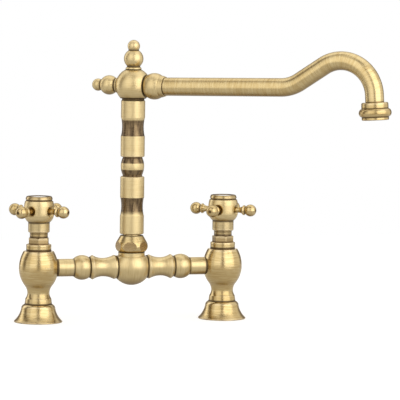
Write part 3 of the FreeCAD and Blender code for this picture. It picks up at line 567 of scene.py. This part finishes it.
def pillar_outline():
    """Vase: foot, narrow waist, belly at the bridge's height, shoulder and neck collar, in tangent arcs."""
    foot_top = BELL_TOP + 5.4
    waist_z = BELL_TOP + 10.7
    waist_radius = 10.5
    bend_share = 0.29
    bend = (waist_radius + (BELLY_RADIUS - waist_radius) * bend_share, waist_z + (BRIDGE_Z - waist_z) * bend_share)
    return outline(
        (6.0, BELL_TOP), (13.0, BELL_TOP), (12.3, foot_top), (waist_radius, waist_z, "arrive"), (*bend, "leave"),
        (BELLY_RADIUS, BRIDGE_Z, "arrive"), (14.2, SHOULDER, "leave"), (11.85, SHOULDER), (11.85, COLLAR_TOP - 0.8),
        (11.05, COLLAR_TOP, "round"), (8.3, COLLAR_TOP), (8.3, 41.0), (6.0, 41.0), closed=True)


def bonnet_outline():
    """Bonnet: a spigot in the pillar, the round that the hexagon is cut from, and a gland above it."""
    return outline(
        (3.95, COLLAR_TOP - 8), (8.2, COLLAR_TOP - 8), (8.2, COLLAR_TOP), (10.57, COLLAR_TOP),
        (10.57, HEX_TOP - 0.5), (9.57, HEX_TOP), (8.5, HEX_TOP), (8.5, SKIRT_BOTTOM + 3.1),
        (3.95, SKIRT_BOTTOM + 3.1), closed=True)


def hub_outline():
    """Handle hub: a straight skirt, an arc out to the drum, and an arc in to the top."""
    return outline(
        (0.0, SKIRT_BOTTOM + 5.1), (8.9, SKIRT_BOTTOM + 5.1), (8.9, SKIRT_BOTTOM), (9.35, SKIRT_BOTTOM),
        (10.15, SKIRT_BOTTOM + 0.8), (10.15, HUB_BOTTOM), (10.4, HUB_BOTTOM), (14.2, HUB_BOTTOM + 8.0, "arrive"),
        (14.2, HUB_BOTTOM + 13.4), (13.15, HUB_TOP, "leave"), (11.05, HUB_TOP), (11.05, HUB_TOP - 3.05),
        (0.0, HUB_TOP - 3.05), edge=0.16)


def ring_outline():
    """Rim ring: a step on the hub, a small groove and a rolled lip round the button."""
    return outline(
        (9.0, HUB_TOP - 3.0), (11.0, HUB_TOP - 3.0), (11.0, HUB_TOP), (12.3, HUB_TOP), (12.3, HUB_TOP + 1.5),
        (12.75, HUB_TOP + 1.5), (12.2, HUB_TOP + 3.6, "leave"), (11.1, HUB_TOP + 4.4, "round"),
        (10.1, HUB_TOP + 3.9, "round"), (10.1, HUB_TOP + 1.6), (9.0, HUB_TOP + 1.6), closed=True)


def disc_outline():
    """Index button: a disc with a slightly domed top."""
    return outline(
        (0.0, HUB_TOP + 1.6), (10.05, HUB_TOP + 1.6), (10.05, HUB_TOP + 3.6), (0.0, HUB_TOP + 4.1, ("bow", 0.12)),
        edge=0.35)


def handle_arm_outline():
    """Handle arm: a pin that flares to a ring, a groove, and a ball at the end."""
    neck_radius = 3.8
    groove = ARM_BALL_AT - math.sqrt(ARM_BALL_RADIUS ** 2 - neck_radius ** 2)
    ball = ("ball", ARM_BALL_AT)
    return outline(
        (0.0, 7.0), (2.65, 7.0), (2.65, 16.6), (4.75, 21.0, "leave"), (4.75, 21.9), (neck_radius, 22.8),
        (neck_radius, groove), (ARM_BALL_RADIUS, ARM_BALL_AT, ball), (0.0, ARM_BALL_AT + ARM_BALL_RADIUS, ball),
        edge=0.14)


def bridge_arm_outline():
    """Bridge arm: spigot under the sleeve, a ball whose side is cut flat there, and the tube to the pillar."""
    bore, spigot, tube = 4.5, 7.0, 8.35
    meet = BRIDGE_BALL_AT + math.sqrt(BRIDGE_BALL_RADIUS ** 2 - tube ** 2)
    face = math.sqrt(BRIDGE_BALL_RADIUS ** 2 - (BRIDGE_BALL_AT - SLEEVE_END) ** 2)
    ball = ("ball", BRIDGE_BALL_AT)
    return outline(
        (bore, 9.65), (spigot, 9.65), (spigot, SLEEVE_END), (face, SLEEVE_END),
        (BRIDGE_BALL_RADIUS, BRIDGE_BALL_AT, ball), (tube, meet, ball), (tube, 80.0), (bore, 80.0), closed=True)


def sleeve_outline():
    """Bridge sleeve: two trumpet arcs back to back, with a chamfer at each end."""
    return outline(
        (7.05, TEE_HALF), (TEE_END_RADIUS, TEE_HALF), (11.55, 17.2), (8.75, 28.1, "arrive"), (11.65, 38.2, "leave"),
        (9.75, SLEEVE_END), (7.05, SLEEVE_END), closed=True)


def tee_outline():
    """Tee barrel: an arc from each end out to the middle."""
    return outline(
        (0.0, -TEE_HALF), (TEE_END_RADIUS, -TEE_HALF), (TEE_RADIUS, 0.0, "arrive"),
        (TEE_END_RADIUS, TEE_HALF, "leave"), (0.0, TEE_HALF))


def tee_neck_outline():
    """Neck of the tee and the threaded stub above it."""
    return outline(
        (0.0, 56.0), (12.6, 56.0), (12.6, NUT_BOTTOM - 0.5), (12.1, NUT_BOTTOM), (11.4, NUT_BOTTOM),
        (11.4, 72.3), (0.0, 72.3))


def nut_outline():
    """Swivel nut: an arc out from the foot, an arc in, and a cone up to the column."""
    return outline(
        (11.45, NUT_BOTTOM), (12.7, NUT_BOTTOM), (15.45, NUT_BOTTOM + 5.3, "arrive"),
        (14.35, NUT_BOTTOM + 9.6, "leave"), (10.7, NUT_TOP), (8.35, NUT_TOP), (8.35, 75.55), (11.45, 75.55),
        closed=True, edge=0.35)


def column_sleeve(bottom, top, waist_start):
    """Steps of a column sleeve: chamfered ends and one concave waist between two crisp edges."""
    chamfer = 0.7
    waist_radius, hollow_radius = 11.2, 10.25
    low, high = bottom + waist_start, bottom + waist_start + WAIST_LENGTH
    return [
        (COLUMN_RADIUS - chamfer, bottom), (COLUMN_RADIUS, bottom + chamfer), (COLUMN_RADIUS, low),
        (waist_radius, low), (waist_radius, high, ("bow", hollow_radius - waist_radius)), (COLUMN_RADIUS, high),
        (COLUMN_RADIUS, top - chamfer), (COLUMN_RADIUS - chamfer, top)]


def lower_sleeve_outline():
    """Lower column sleeve, from the nut to the bead."""
    steps = column_sleeve(COLUMN_BOTTOM, BEAD_BOTTOM, 17.5)
    return outline((COLUMN_BORE, COLUMN_BOTTOM), *steps, (COLUMN_BORE, BEAD_BOTTOM), closed=True, edge=0.18)


def upper_sleeve_outline():
    """Upper column sleeve, from the bead to the head, with a thin neck under the head."""
    steps = column_sleeve(BEAD_TOP, COLUMN_TOP, 19.8)
    return outline(
        (COLUMN_BORE, BEAD_TOP), *steps, (10.65, COLUMN_TOP), (10.65, HEAD_BOTTOM), (COLUMN_BORE, HEAD_BOTTOM),
        closed=True, edge=0.18)


def bead_outline():
    """Bead: one arc that bulges between two short necks.  Also gives the height of its middle."""
    neck_radius, bead_radius = 9.3, 11.1
    low, high = BEAD_BOTTOM + 1.4, BEAD_TOP - 0.8
    return outline(
        (COLUMN_BORE, BEAD_BOTTOM), (neck_radius, BEAD_BOTTOM), (neck_radius, low),
        (neck_radius, high, ("bow", bead_radius - neck_radius)), (neck_radius, BEAD_TOP), (COLUMN_BORE, BEAD_TOP),
        closed=True), (low + high) / 2


def head_outline():
    """Head: a ball cut flat underneath."""
    bottom = math.sqrt(HEAD_RADIUS ** 2 - HEAD_DEPTH ** 2)
    return outline(
        (0.0, -HEAD_DEPTH), (bottom, -HEAD_DEPTH), (HEAD_RADIUS, 0.0, ("ball", 0.0)),
        (0.0, HEAD_RADIUS, ("ball", 0.0)))


def finial_outline():
    """Finial: a ring on the head, a ball, and a smaller ball on a short neck."""
    stud_radius, waist_radius, neck_radius = 3.0, 6.4, 5.0
    ring_top = FINIAL_SEAT + 2.3
    foot = FINIAL_BALL_AT - math.sqrt(FINIAL_BALL_RADIUS ** 2 - waist_radius ** 2)
    neck = FINIAL_BALL_AT + math.sqrt(FINIAL_BALL_RADIUS ** 2 - neck_radius ** 2)
    tip = TIP_BALL_AT - math.sqrt(TIP_BALL_RADIUS ** 2 - neck_radius ** 2)
    ball, tip_ball = ("ball", FINIAL_BALL_AT), ("ball", TIP_BALL_AT)
    return outline(
        (0.0, FINIAL_SEAT - 6.0), (stud_radius, FINIAL_SEAT - 6.0), (stud_radius, FINIAL_SEAT),
        (FINIAL_RING_RADIUS, FINIAL_SEAT), (waist_radius, ring_top, ("bow", 0.575)), (waist_radius, foot),
        (FINIAL_BALL_RADIUS, FINIAL_BALL_AT, ball), (neck_radius, neck, ball), (neck_radius, tip),
        (TIP_BALL_RADIUS, TIP_BALL_AT, tip_ball), (0.0, TIP_BALL_AT + TIP_BALL_RADIUS, tip_ball), edge=0.16)


def collar_outline():
    """Spout collar: part of a ball on the head's flat, then a straight socket with a chamfered end."""
    bore, socket_radius, seat_radius = 7.0, 10.2, 8.3
    edge = COLLAR_BALL_AT + math.sqrt(COLLAR_BALL_RADIUS ** 2 - socket_radius ** 2)
    seat = math.sqrt(COLLAR_BALL_RADIUS ** 2 - seat_radius ** 2)
    ball = ("ball", COLLAR_BALL_AT)
    return outline(
        (bore, COLLAR_SEAT), (seat, COLLAR_SEAT), (COLLAR_BALL_RADIUS, COLLAR_BALL_AT, ball),
        (socket_radius, edge, ball), (socket_radius, edge + 1.3), (9.3, COLLAR_END), (bore, COLLAR_END),
        closed=True, edge=0.18)


def nozzle_outline():
    """Nozzle: a rounded top, a straight band, and a bulging ring below it."""
    return outline(
        (7.5, 0.0), (11.0, 0.0), (12.4, 1.4, "round"), (12.4, 5.8), (13.1, 5.8), (15.0, 9.45, "arrive"),
        (13.1, 13.1, "leave"), (11.45, 13.1), (11.45, 7.1), (7.5, 7.1), closed=True, edge=0.25)


def housing_outline():
    """Aerator housing: a short sleeve with a lip below the nozzle."""
    return outline(
        (9.8, 8.3), (11.4, 8.3), (11.4, 13.1), (12.45, 13.1), (12.45, 15.7), (11.95, 16.2), (9.8, 16.2), closed=True)


# ---- the spout's path ----
def spout_path():
    """Points, ways and lengths along the tube: tilted run, bend, climb, arch and drop, each tangent to the next."""
    head = UP * HEAD_Z
    out = heading(SPOUT_HEADING)
    run, slope, end_way = climbing(RUN_TILT), climbing(CLIMB), climbing(END_TILT - 90)
    start = head + out * COLLAR_END - run * SOCKET_DEPTH
    arch_centre = out * ARCH_REACH + UP * ARCH_Z
    arch_start = arch_centre + climbing(CLIMB + 90) * ARCH_RADIUS
    arch_stop = arch_centre + climbing(END_TILT) * ARCH_RADIUS
    turn = math.radians(CLIMB - RUN_TILT)
    corner = arch_start - slope * ((arch_start - start) @ climbing(RUN_TILT + 90) / math.sin(turn))
    tangent = BEND_RADIUS * math.tan(turn / 2)
    bend_start, bend_stop = corner - run * tangent, corner + slope * tangent
    bend_centre = bend_start + climbing(RUN_TILT + 90) * BEND_RADIUS

    def line(first, last, count):
        share = np.linspace(0, 1, count, endpoint=False)[:, None]
        return first + share * (last - first), np.repeat([(last - first) / np.linalg.norm(last - first)], count, 0)

    def turn_about(centre, radius, first, last, count):
        angles = np.radians(np.linspace(first, last, count, endpoint=False))[:, None]
        way = np.cos(angles) * out + np.sin(angles) * UP
        aside = -np.sin(angles) * out + np.cos(angles) * UP
        return centre + way * radius, aside if last > first else -aside

    parts = [
        line(start, bend_start, 130),
        turn_about(bend_centre, BEND_RADIUS, RUN_TILT - 90, CLIMB - 90, 24),
        line(bend_stop, arch_start, 30),
        turn_about(arch_centre, ARCH_RADIUS, CLIMB + 90, END_TILT, 84),
        line(arch_stop, arch_stop + end_way * DROP, 12)]
    places = np.vstack([part[0] for part in parts] + [arch_stop + end_way * DROP])
    ways = np.vstack([part[1] for part in parts] + [end_way])
    return places, ways, arch_stop + end_way * (DROP - NOZZLE_LAP), end_way


def tube_shell(places, ways):
    """Tube along a flat path: each row is a circle across the way, outside first and then back along the bore."""
    side = np.cross(heading(SPOUT_HEADING), UP)
    rise = np.cross(side, ways)
    angle = np.linspace(0, 2 * math.pi, FACES, endpoint=False)[:, None]
    circle = np.cos(angle) * rise[:, None, :] + np.sin(angle) * side
    outer = places[:, None, :] + circle * TUBE_RADIUS
    inner = places[::-1, None, :] + circle[::-1] * (TUBE_RADIUS - TUBE_WALL)
    travel = np.concatenate([[0], np.cumsum(np.linalg.norm(np.diff(places, axis=0), axis=1))])
    shape = Shell(np.concatenate([outer, inner]), 0.0, loop=True)
    around = np.stack([np.cos(angle[:, 0]), np.sin(angle[:, 0])], -1) * TUBE_RADIUS
    both = np.concatenate([travel, travel[::-1]])
    shape.grain = np.concatenate([
        np.broadcast_to(around, (len(both), FACES, 2)),
        np.broadcast_to(both[:, None, None], (len(both), FACES, 1))], -1)
    at_collar, at_nozzle = (np.abs(travel - place) for place in (SOCKET_DEPTH, travel[-1] - NOZZLE_LAP))
    # crevice: lowered relief at the collar and nozzle joins, which the brass darkens as patina and painted shade
    crevice = -np.clip(1.2 - at_collar, 0, 1.2) - np.clip(1.0 - at_nozzle, 0, 1.0)
    shape.relief = np.broadcast_to(np.concatenate([crevice, crevice[::-1]])[:, None], (len(both), FACES))
    return shape


# ---- the pieces ----
def upright(path, x, **values):
    """Shell of an outline turned about the vertical axis at x."""
    grid = spun(path)
    return Shell(grid + np.array([x, 0.0, 0.0]), values.pop("relief", 0.0), axis_grid=grid, **values)


def aimed(path, origin, direction, **values):
    """Shell of an outline turned about the line through origin in the given direction."""
    grid = spun(path)
    return Shell(set_at(grid, origin, direction), values.pop("relief", 0.0), axis_grid=grid, **values)


def build_pillar(side, x):
    """Bell, vase, bonnet, hub with its four pits, arms, rim ring and button, each turned about the pillar."""
    paths = {
        "bell": bell_outline(), "body": pillar_outline(), "bonnet": bonnet_outline(), "hub": hub_outline(),
        "ring": ring_outline()}
    relief = {name: relief_along(list(paths.values()), path) for name, path in paths.items()}
    handle = side + "_handle"
    rim_dark = np.interp(paths["bell"][:, 1], [1.0, 2.2, 6.0], [0.45, 0.35, 0.0])
    make_piece(side + "_bell", [upright(paths["bell"], x, relief=relief["bell"], loop=True, stain=rim_dark)],
               [side + "_base_bell"], "faucet_body", brass)
    waist_stain = np.interp(paths["body"][:, 1], [BELL_TOP, BELL_TOP + 9, BELL_TOP + 17], [0.36, 0.3, 0.0])
    make_piece(side + "_pillar", [upright(paths["body"], x, relief=relief["body"], loop=True, stain=waist_stain)],
               [side + "_pillar_body"], "faucet_body", brass)
    hexagon, on_flat = prism_cut(
        spun(paths["bonnet"], 144), HEX_HALF_WIDTH, HEX_HEADING[side], HEX_CORNER_RADIUS, COLLAR_TOP + 0.05,
        HEX_TOP - 0.02)
    make_piece(side + "_bonnet",
               [Shell(hexagon + np.array([x, 0, 0]), relief["bonnet"], loop=True, flat=on_flat * 0.5,
                      axis_grid=hexagon, stain=0.42)],
               [side + "_cartridge_bonnet"], "faucet_body", brass, crease=24)
    hub = spun(paths["hub"], 288)
    centre = np.array([0.0, 0.0, ARM_Z])
    pits = np.zeros(hub.shape[:2])
    ways = [heading(ARM_HEADING[side] + 360 / ARM_COUNT * k) for k in range(ARM_COUNT)]
    for way in ways:
        pressed = dimpled(hub, centre, way, rim=5.2, floor=2.7, depth=2.8)
        pits = pits + np.linalg.norm(pressed - hub, axis=-1)
        hub = pressed
    # the pits lower the relief, so the brass gives them patina and painted shade
    hub_relief = np.broadcast_to(relief["hub"][:, None], pits.shape) - pits * 0.16
    skirt_stain = np.interp(paths["hub"][:, 1], [HUB_BOTTOM - 1, HUB_BOTTOM + 1], [0.4, 0.0])
    make_piece(side + "_hub", [Shell(hub + np.array([x, 0, 0]), hub_relief, axis_grid=hub, stain=skirt_stain)],
               [side + "_handle_hub"], handle, satin_brass)
    arm = handle_arm_outline()
    outside_hub = arm[arm[:, 1] > 12]
    arm_relief = relief_along([outside_hub], arm, reach=0.9)
    arms = [aimed(arm, (x, 0.0, ARM_Z), way, relief=arm_relief) for way in ways]
    make_piece(side + "_arms", arms, [side + "_handle_arms"], handle, brass)
    make_piece(side + "_rim_ring", [upright(paths["ring"], x, relief=relief["ring"], loop=True, stain=0.45)],
               [side + "_index_ring"], handle, brass)
    make_piece(side + "_button", [upright(disc_outline(), x)], [side + "_index_disc"], handle, porcelain)


def build_bridge(side, way):
    """Arm and sleeve of one side, turned about the bridge's axis."""
    belly = outline((0.0, 70.0), (10.0, 73.4), (BELLY_RADIUS, PILLAR_X), edge=0.05)
    tee = tee_outline()
    paths = {"arm": bridge_arm_outline(), "sleeve": sleeve_outline()}
    stack = [*paths.values(), tee[tee[:, 1] > 0], belly]
    centre = (0.0, 0.0, BRIDGE_Z)
    for name, path in paths.items():
        relief = relief_along(stack, path)
        make_piece(f"{side}_bridge_{name}_skin", [aimed(path, centre, way, relief=relief, loop=True)],
                   [f"{side}_bridge_{name}"], "faucet_body", satin_brass)


def build_column():
    """Tee, nut, and the sleeves and bead of the column, turned about the upright axis."""
    bead, bead_middle = bead_outline()
    paths = {
        "neck": tee_neck_outline(), "nut": nut_outline(), "lower": lower_sleeve_outline(), "bead": bead,
        "upper": upper_sleeve_outline()}
    head = head_outline() + np.array([0, HEAD_Z])
    stack = [*paths.values(), head]
    relief = {name: relief_along(stack, path) for name, path in paths.items()}

    tee = tee_outline()
    barrel = set_at(spun(tee, 180), (0, 0, BRIDGE_Z), (1, 0, 0))
    barrel = flattened(barrel, UP, TEE_FLAT)
    tee_relief = relief_along([sleeve_outline(), tee], tee)
    shells = [
        Shell(barrel, np.broadcast_to(tee_relief[:, None], barrel.shape[:2]), axis_grid=spun(tee, 180)),
        upright(paths["neck"], 0.0, relief=relief["neck"])]
    make_piece("tee", shells, ["tee_body"], "faucet_body", satin_brass)

    nut, on_flat = prism_cut(
        spun(paths["nut"], 216), NUT_HALF_WIDTH, NUT_HEADING, math.inf, NUT_BOTTOM + 0.1, NUT_TOP - 0.1)
    make_piece("nut", [Shell(nut, relief["nut"], loop=True, flat=on_flat, axis_grid=nut)],
               ["swivel_nut"], "faucet_body", brass, crease=24)

    height = paths["lower"][:, 1]
    low_stain = np.interp(height, [97.0, 101.0, 108.0, 117.1, 117.25], [0.0, 0.35, 1.0, 1.0, 0.0])
    low_stain = np.maximum(low_stain, np.interp(height, [83.0, 97.0, 100.0], [0.3, 0.2, 0.0]))
    make_piece("lower_sleeve", [upright(paths["lower"], 0.0, relief=relief["lower"], loop=True, stain=low_stain)],
               ["column_lower"], "spout", column_brass)
    off_middle = np.abs(bead[:, 1] - bead_middle)
    bead_stain = np.interp(off_middle, [2.2, 3.6, 9.0], [0.0, 0.85, 1.0])
    make_piece("bead", [upright(bead, 0.0, relief=relief["bead"], loop=True, stain=bead_stain)],
               ["column_bead"], "spout", column_brass)
    height = paths["upper"][:, 1]
    high_stain = np.interp(height, [175.6, 175.75, 189.0, 193.0], [0.0, 1.0, 1.0, 0.0])
    make_piece("upper_sleeve", [upright(paths["upper"], 0.0, relief=relief["upper"], loop=True, stain=high_stain)],
               ["column_upper"], "spout", column_brass)


def build_head():
    """Head ball with three flats, with patina and painted shade round what sits on them, the two finials and the
    spout's collar.
    """
    out = heading(SPOUT_HEADING)
    centre = UP * HEAD_Z
    ball = spun(head_outline(), 144)
    contact_depth = 0.7
    contact = np.zeros(ball.shape[:2])
    seats = ((UP, FINIAL_SEAT, FINIAL_RING_RADIUS), (-out, FINIAL_SEAT, FINIAL_RING_RADIUS), (out, COLLAR_SEAT, 9.4))
    for way, limit, _ in seats:
        ball = flattened(ball, way, limit)
    # contact: lowered relief round each seat and at the foot, darkened in the brass as patina and painted shade
    for way, _, spread in seats:
        off_axis = np.linalg.norm(ball - (ball @ way)[..., None] * way, axis=-1)
        contact -= np.clip(1.6 - np.abs(off_axis - spread), 0, 1.6) * (ball @ way > 0) * contact_depth
    contact -= np.clip(1.5 - (ball @ UP + HEAD_DEPTH), 0, 1.5) * contact_depth
    make_piece("head", [Shell(ball + centre, contact, axis_grid=ball)], ["head_ball"],
               "spout", satin_brass)
    finial = finial_outline()
    near_ball = outline((0.0, -HEAD_RADIUS), (HEAD_RADIUS, 0.0, ("ball", 0.0)),
                        (FINIAL_RING_RADIUS, FINIAL_SEAT, ("ball", 0.0)), edge=0.05)
    finial_relief = relief_along([near_ball, finial[finial[:, 1] > FINIAL_SEAT - 0.2]], finial, reach=1.1)
    make_piece("crown_finial", [aimed(finial, centre, UP, relief=finial_relief)], ["top_finial"],
               "spout", satin_brass)
    make_piece("back_finial", [aimed(finial, centre, -out, relief=finial_relief)], ["side_finial"],
               "spout", satin_brass)
    collar = collar_outline()
    tube = outline((TUBE_RADIUS, COLLAR_END - 2), (TUBE_RADIUS, COLLAR_END + 12))
    collar_relief = relief_along([near_ball, collar, tube], collar, reach=1.1)
    make_piece("collar", [aimed(collar, centre, out, relief=collar_relief, loop=True)], ["spout_collar"],
               "spout", satin_brass)


def build_spout():
    """Spout tube along its path, and the nozzle and aerator housing turned about its end."""
    places, ways, nozzle_top, way = spout_path()
    make_piece("spout_pipe", [tube_shell(places, ways)], ["spout_tube"], "spout", spout_brass)
    nozzle, housing = nozzle_outline(), housing_outline()
    tube = outline((TUBE_RADIUS, -12.0), (TUBE_RADIUS, 2.0))
    stack = [nozzle, housing, tube]
    for name, path, node in (("nozzle", nozzle, "nozzle_body"), ("aerator", housing, "aerator_housing")):
        relief = relief_along(stack, path, reach=1.1)
        make_piece(name, [aimed(path, nozzle_top, way, relief=relief, loop=True)], [node],
                   "spout", brass)


for side, x in (("left", -PILLAR_X), ("right", PILLAR_X)):
    build_pillar(side, x)
    build_bridge(side, (math.copysign(1.0, x), 0.0, 0.0))
build_column()
build_head()
build_spout()

# ---- CAD nodes that stay, each with its finish ----
KEPT = {
    "inlet_socket": inner_brass, "base_gasket": rubber, "seat_washer": rubber, "fixed_disc": ceramic,
    "moving_disc": ceramic, "spindle": inner_brass, "spindle_o_rings": rubber, "spindle_clip": steel,
    "handle_screw": steel, "bridge_o_ring": rubber}
for side in ("left", "right"):
    for part, finish in KEPT.items():
        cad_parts[f"{side}_{part}"].material_slots[0].material = finish
for part, finish in (
        ("lower_slip_ring", slip_plastic), ("upper_slip_ring", slip_plastic), ("column_stem", inner_brass),
        ("stem_o_rings", rubber), ("aerator_seal", rubber), ("aerator_screen", screen_plastic)):
    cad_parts[part].material_slots[0].material = finish


# ---- floor, light and camera ----
ROOM_PALE = (0.98, 0.95, 0.90)
FLAG_BROWN = (0.10, 0.065, 0.04)
FLOOR_PALE = (0.30, 0.29, 0.275, 1)
FLOOR_HALF = 0.8
FLOOR_DROP = 0.0001
FLOOR_GLOW = 0.75
FLOOR_GLOW_IN_METAL = 0.35
# upright flags: azimuth and half angle in degrees, and the share of light they take
CAMERA_FLAG = (3, 8, 0.75)
LEFT_FLAG = (-91, 11, 0.85)
BEHIND_DIM = 0.85
OVERHEAD_DIM = 0.35
STUDIO_MIDDLE = Vector((0.05, -0.03, 0.12))
CAMERA = {"azimuth": -15.196, "elevation": 4.551, "roll": 0.762, "distance": 2.5586, "lens": 240.7,
          "aim": (0.066856, 0.0, 0.114133)}


def toward(azimuth, elevation=0.0):
    """Unit vector to a place in the studio, its azimuth measured to the right of the camera's own."""
    turn = math.radians(CAMERA["azimuth"] + azimuth)
    lift = math.radians(elevation)
    return Vector((math.sin(turn) * math.cos(lift), -math.cos(turn) * math.cos(lift), math.sin(lift)))


def pale_floor():
    """Floor that keeps the shadow and looks white elsewhere, to the eye and in the metal."""
    material = bpy.data.materials.new("pale_floor")
    material.use_nodes = True
    tree = material.node_tree
    surface = next(node for node in tree.nodes if node.type == "BSDF_PRINCIPLED")
    surface.inputs["Base Color"].default_value = FLOOR_PALE
    surface.inputs["Roughness"].default_value = 0.9
    surface.inputs["Emission Strength"].default_value = 1.0
    shown = ray_is(tree, "Camera") + ray_is(tree, "Transmission")
    glow = blended(tree, shown * FLOOR_GLOW + ray_is(tree, "Glossy") * FLOOR_GLOW_IN_METAL, (0, 0, 0), (1, 1, 1))
    tree.links.new(glow.source, surface.inputs["Emission Color"])
    mesh = bpy.data.meshes.new("floor")
    corners = [(x * FLOOR_HALF, y * FLOOR_HALF, 0) for x, y in ((-1, -1), (1, -1), (1, 1), (-1, 1))]
    mesh.from_pydata(corners, [], [(0, 1, 2, 3)])
    floor = bpy.data.objects.new("floor", mesh)
    floor.location = (0, 0, -FLOOR_DROP)
    bpy.context.scene.collection.objects.link(floor)
    mesh.materials.append(material)


def softbox(name, azimuth, elevation, distance, width, height, strength):
    """Area lamp in the direction toward(azimuth, elevation), facing the middle of the faucet."""
    way = toward(azimuth, elevation)
    lamp = bpy.data.lights.new(name, "AREA")
    lamp.shape = "RECTANGLE"
    lamp.size, lamp.size_y = width, height
    lamp.energy = strength * width * height * math.pi
    holder = bpy.data.objects.new(name, lamp)
    holder.location = STUDIO_MIDDLE + way * distance
    holder.rotation_mode = "QUATERNION"
    holder.rotation_quaternion = way.to_track_quat("Z", "Y")
    bpy.context.scene.collection.objects.link(holder)


def studio_world():
    """Pale room, white to the camera, with dark flags: beside the camera, at the left, overhead and behind."""
    world = bpy.data.worlds.new("studio")
    bpy.context.scene.world = world
    world.use_nodes = True
    tree = world.node_tree
    background = next(node for node in tree.nodes if node.type == "BACKGROUND")
    way = add_node(tree, "ShaderNodeTexCoord", {}, {}, output=0)

    def along(azimuth, elevation=0.0):
        values = {0: way, 1: toward(azimuth, elevation)}
        return add_node(tree, "ShaderNodeVectorMath", {"operation": "DOT_PRODUCT"}, values, output=1)

    def past_flag(azimuth, half_angle, dim):
        """Light that an upright flag leaves: 1 away from its plane, and 1 - dim near it, on the azimuth's side."""
        aside = along(azimuth + 90).absolute()
        half = math.sin(math.radians(half_angle))
        return 1 - (1 - aside.smooth(half * 0.6, half * 1.4)) * along(azimuth).smooth(0.0, 0.3) * dim

    ahead = along(0)
    height = along(0, 90)
    behind = ahead.smooth(-0.99, -0.95) * (1 - ahead.smooth(-0.80, -0.50)) * (1 - height.smooth(0.3, 0.6))
    overhead = height.smooth(0.84, 0.88) * (1 - height.smooth(0.91, 0.95)) * ahead.smooth(-0.1, 0.2)
    lit = past_flag(*CAMERA_FLAG) * past_flag(*LEFT_FLAG)
    lit = lit * (1 - behind * BEHIND_DIM) * (1 - overhead * OVERHEAD_DIM)
    room = blended(tree, lit, FLAG_BROWN, ROOM_PALE)
    colour = blended(tree, ray_is(tree, "Camera") + ray_is(tree, "Transmission"), room, (1, 1, 1))
    tree.links.new(colour.source, background.inputs["Color"])
    background.inputs["Strength"].default_value = 1.0


def photo_camera():
    """Camera at the photograph's viewing angle, rolled a little, with a long lens."""
    azimuth, roll = math.radians(CAMERA["azimuth"]), math.radians(CAMERA["roll"])
    back = toward(0, CAMERA["elevation"])
    right = Vector((math.cos(azimuth), math.sin(azimuth), 0))
    up = back.cross(right)
    across = right * math.cos(roll) + up * math.sin(roll)
    upward = up * math.cos(roll) - right * math.sin(roll)
    place = Vector(CAMERA["aim"]) + back * CAMERA["distance"]
    lens = bpy.data.cameras.new("photo_camera")
    lens.sensor_width = 36.0
    lens.lens = CAMERA["lens"]
    lens.clip_start, lens.clip_end = 0.05, 50
    camera = bpy.data.objects.new("photo_camera", lens)
    camera.matrix_world = Matrix((
        (across.x, upward.x, back.x, place.x), (across.y, upward.y, back.y, place.y),
        (across.z, upward.z, back.z, place.z), (0, 0, 0, 1)))
    bpy.context.scene.collection.objects.link(camera)
    bpy.context.scene.camera = camera


pale_floor()
studio_world()
softbox("key_softbox", azimuth=44, elevation=18, distance=1.6, width=1.9, height=2.2, strength=1.1)
softbox("left_softbox", azimuth=-30, elevation=24, distance=1.6, width=1.3, height=1.8, strength=0.42)
softbox("edge_softbox", azimuth=-119, elevation=12, distance=1.6, width=0.5, height=1.6, strength=0.7)
softbox("top_softbox", azimuth=0, elevation=95, distance=1.5, width=2.4, height=1.5, strength=0.38)
photo_camera()
bpy.context.scene.view_settings.view_transform = "Standard"

bpy.context.view_layer.update()
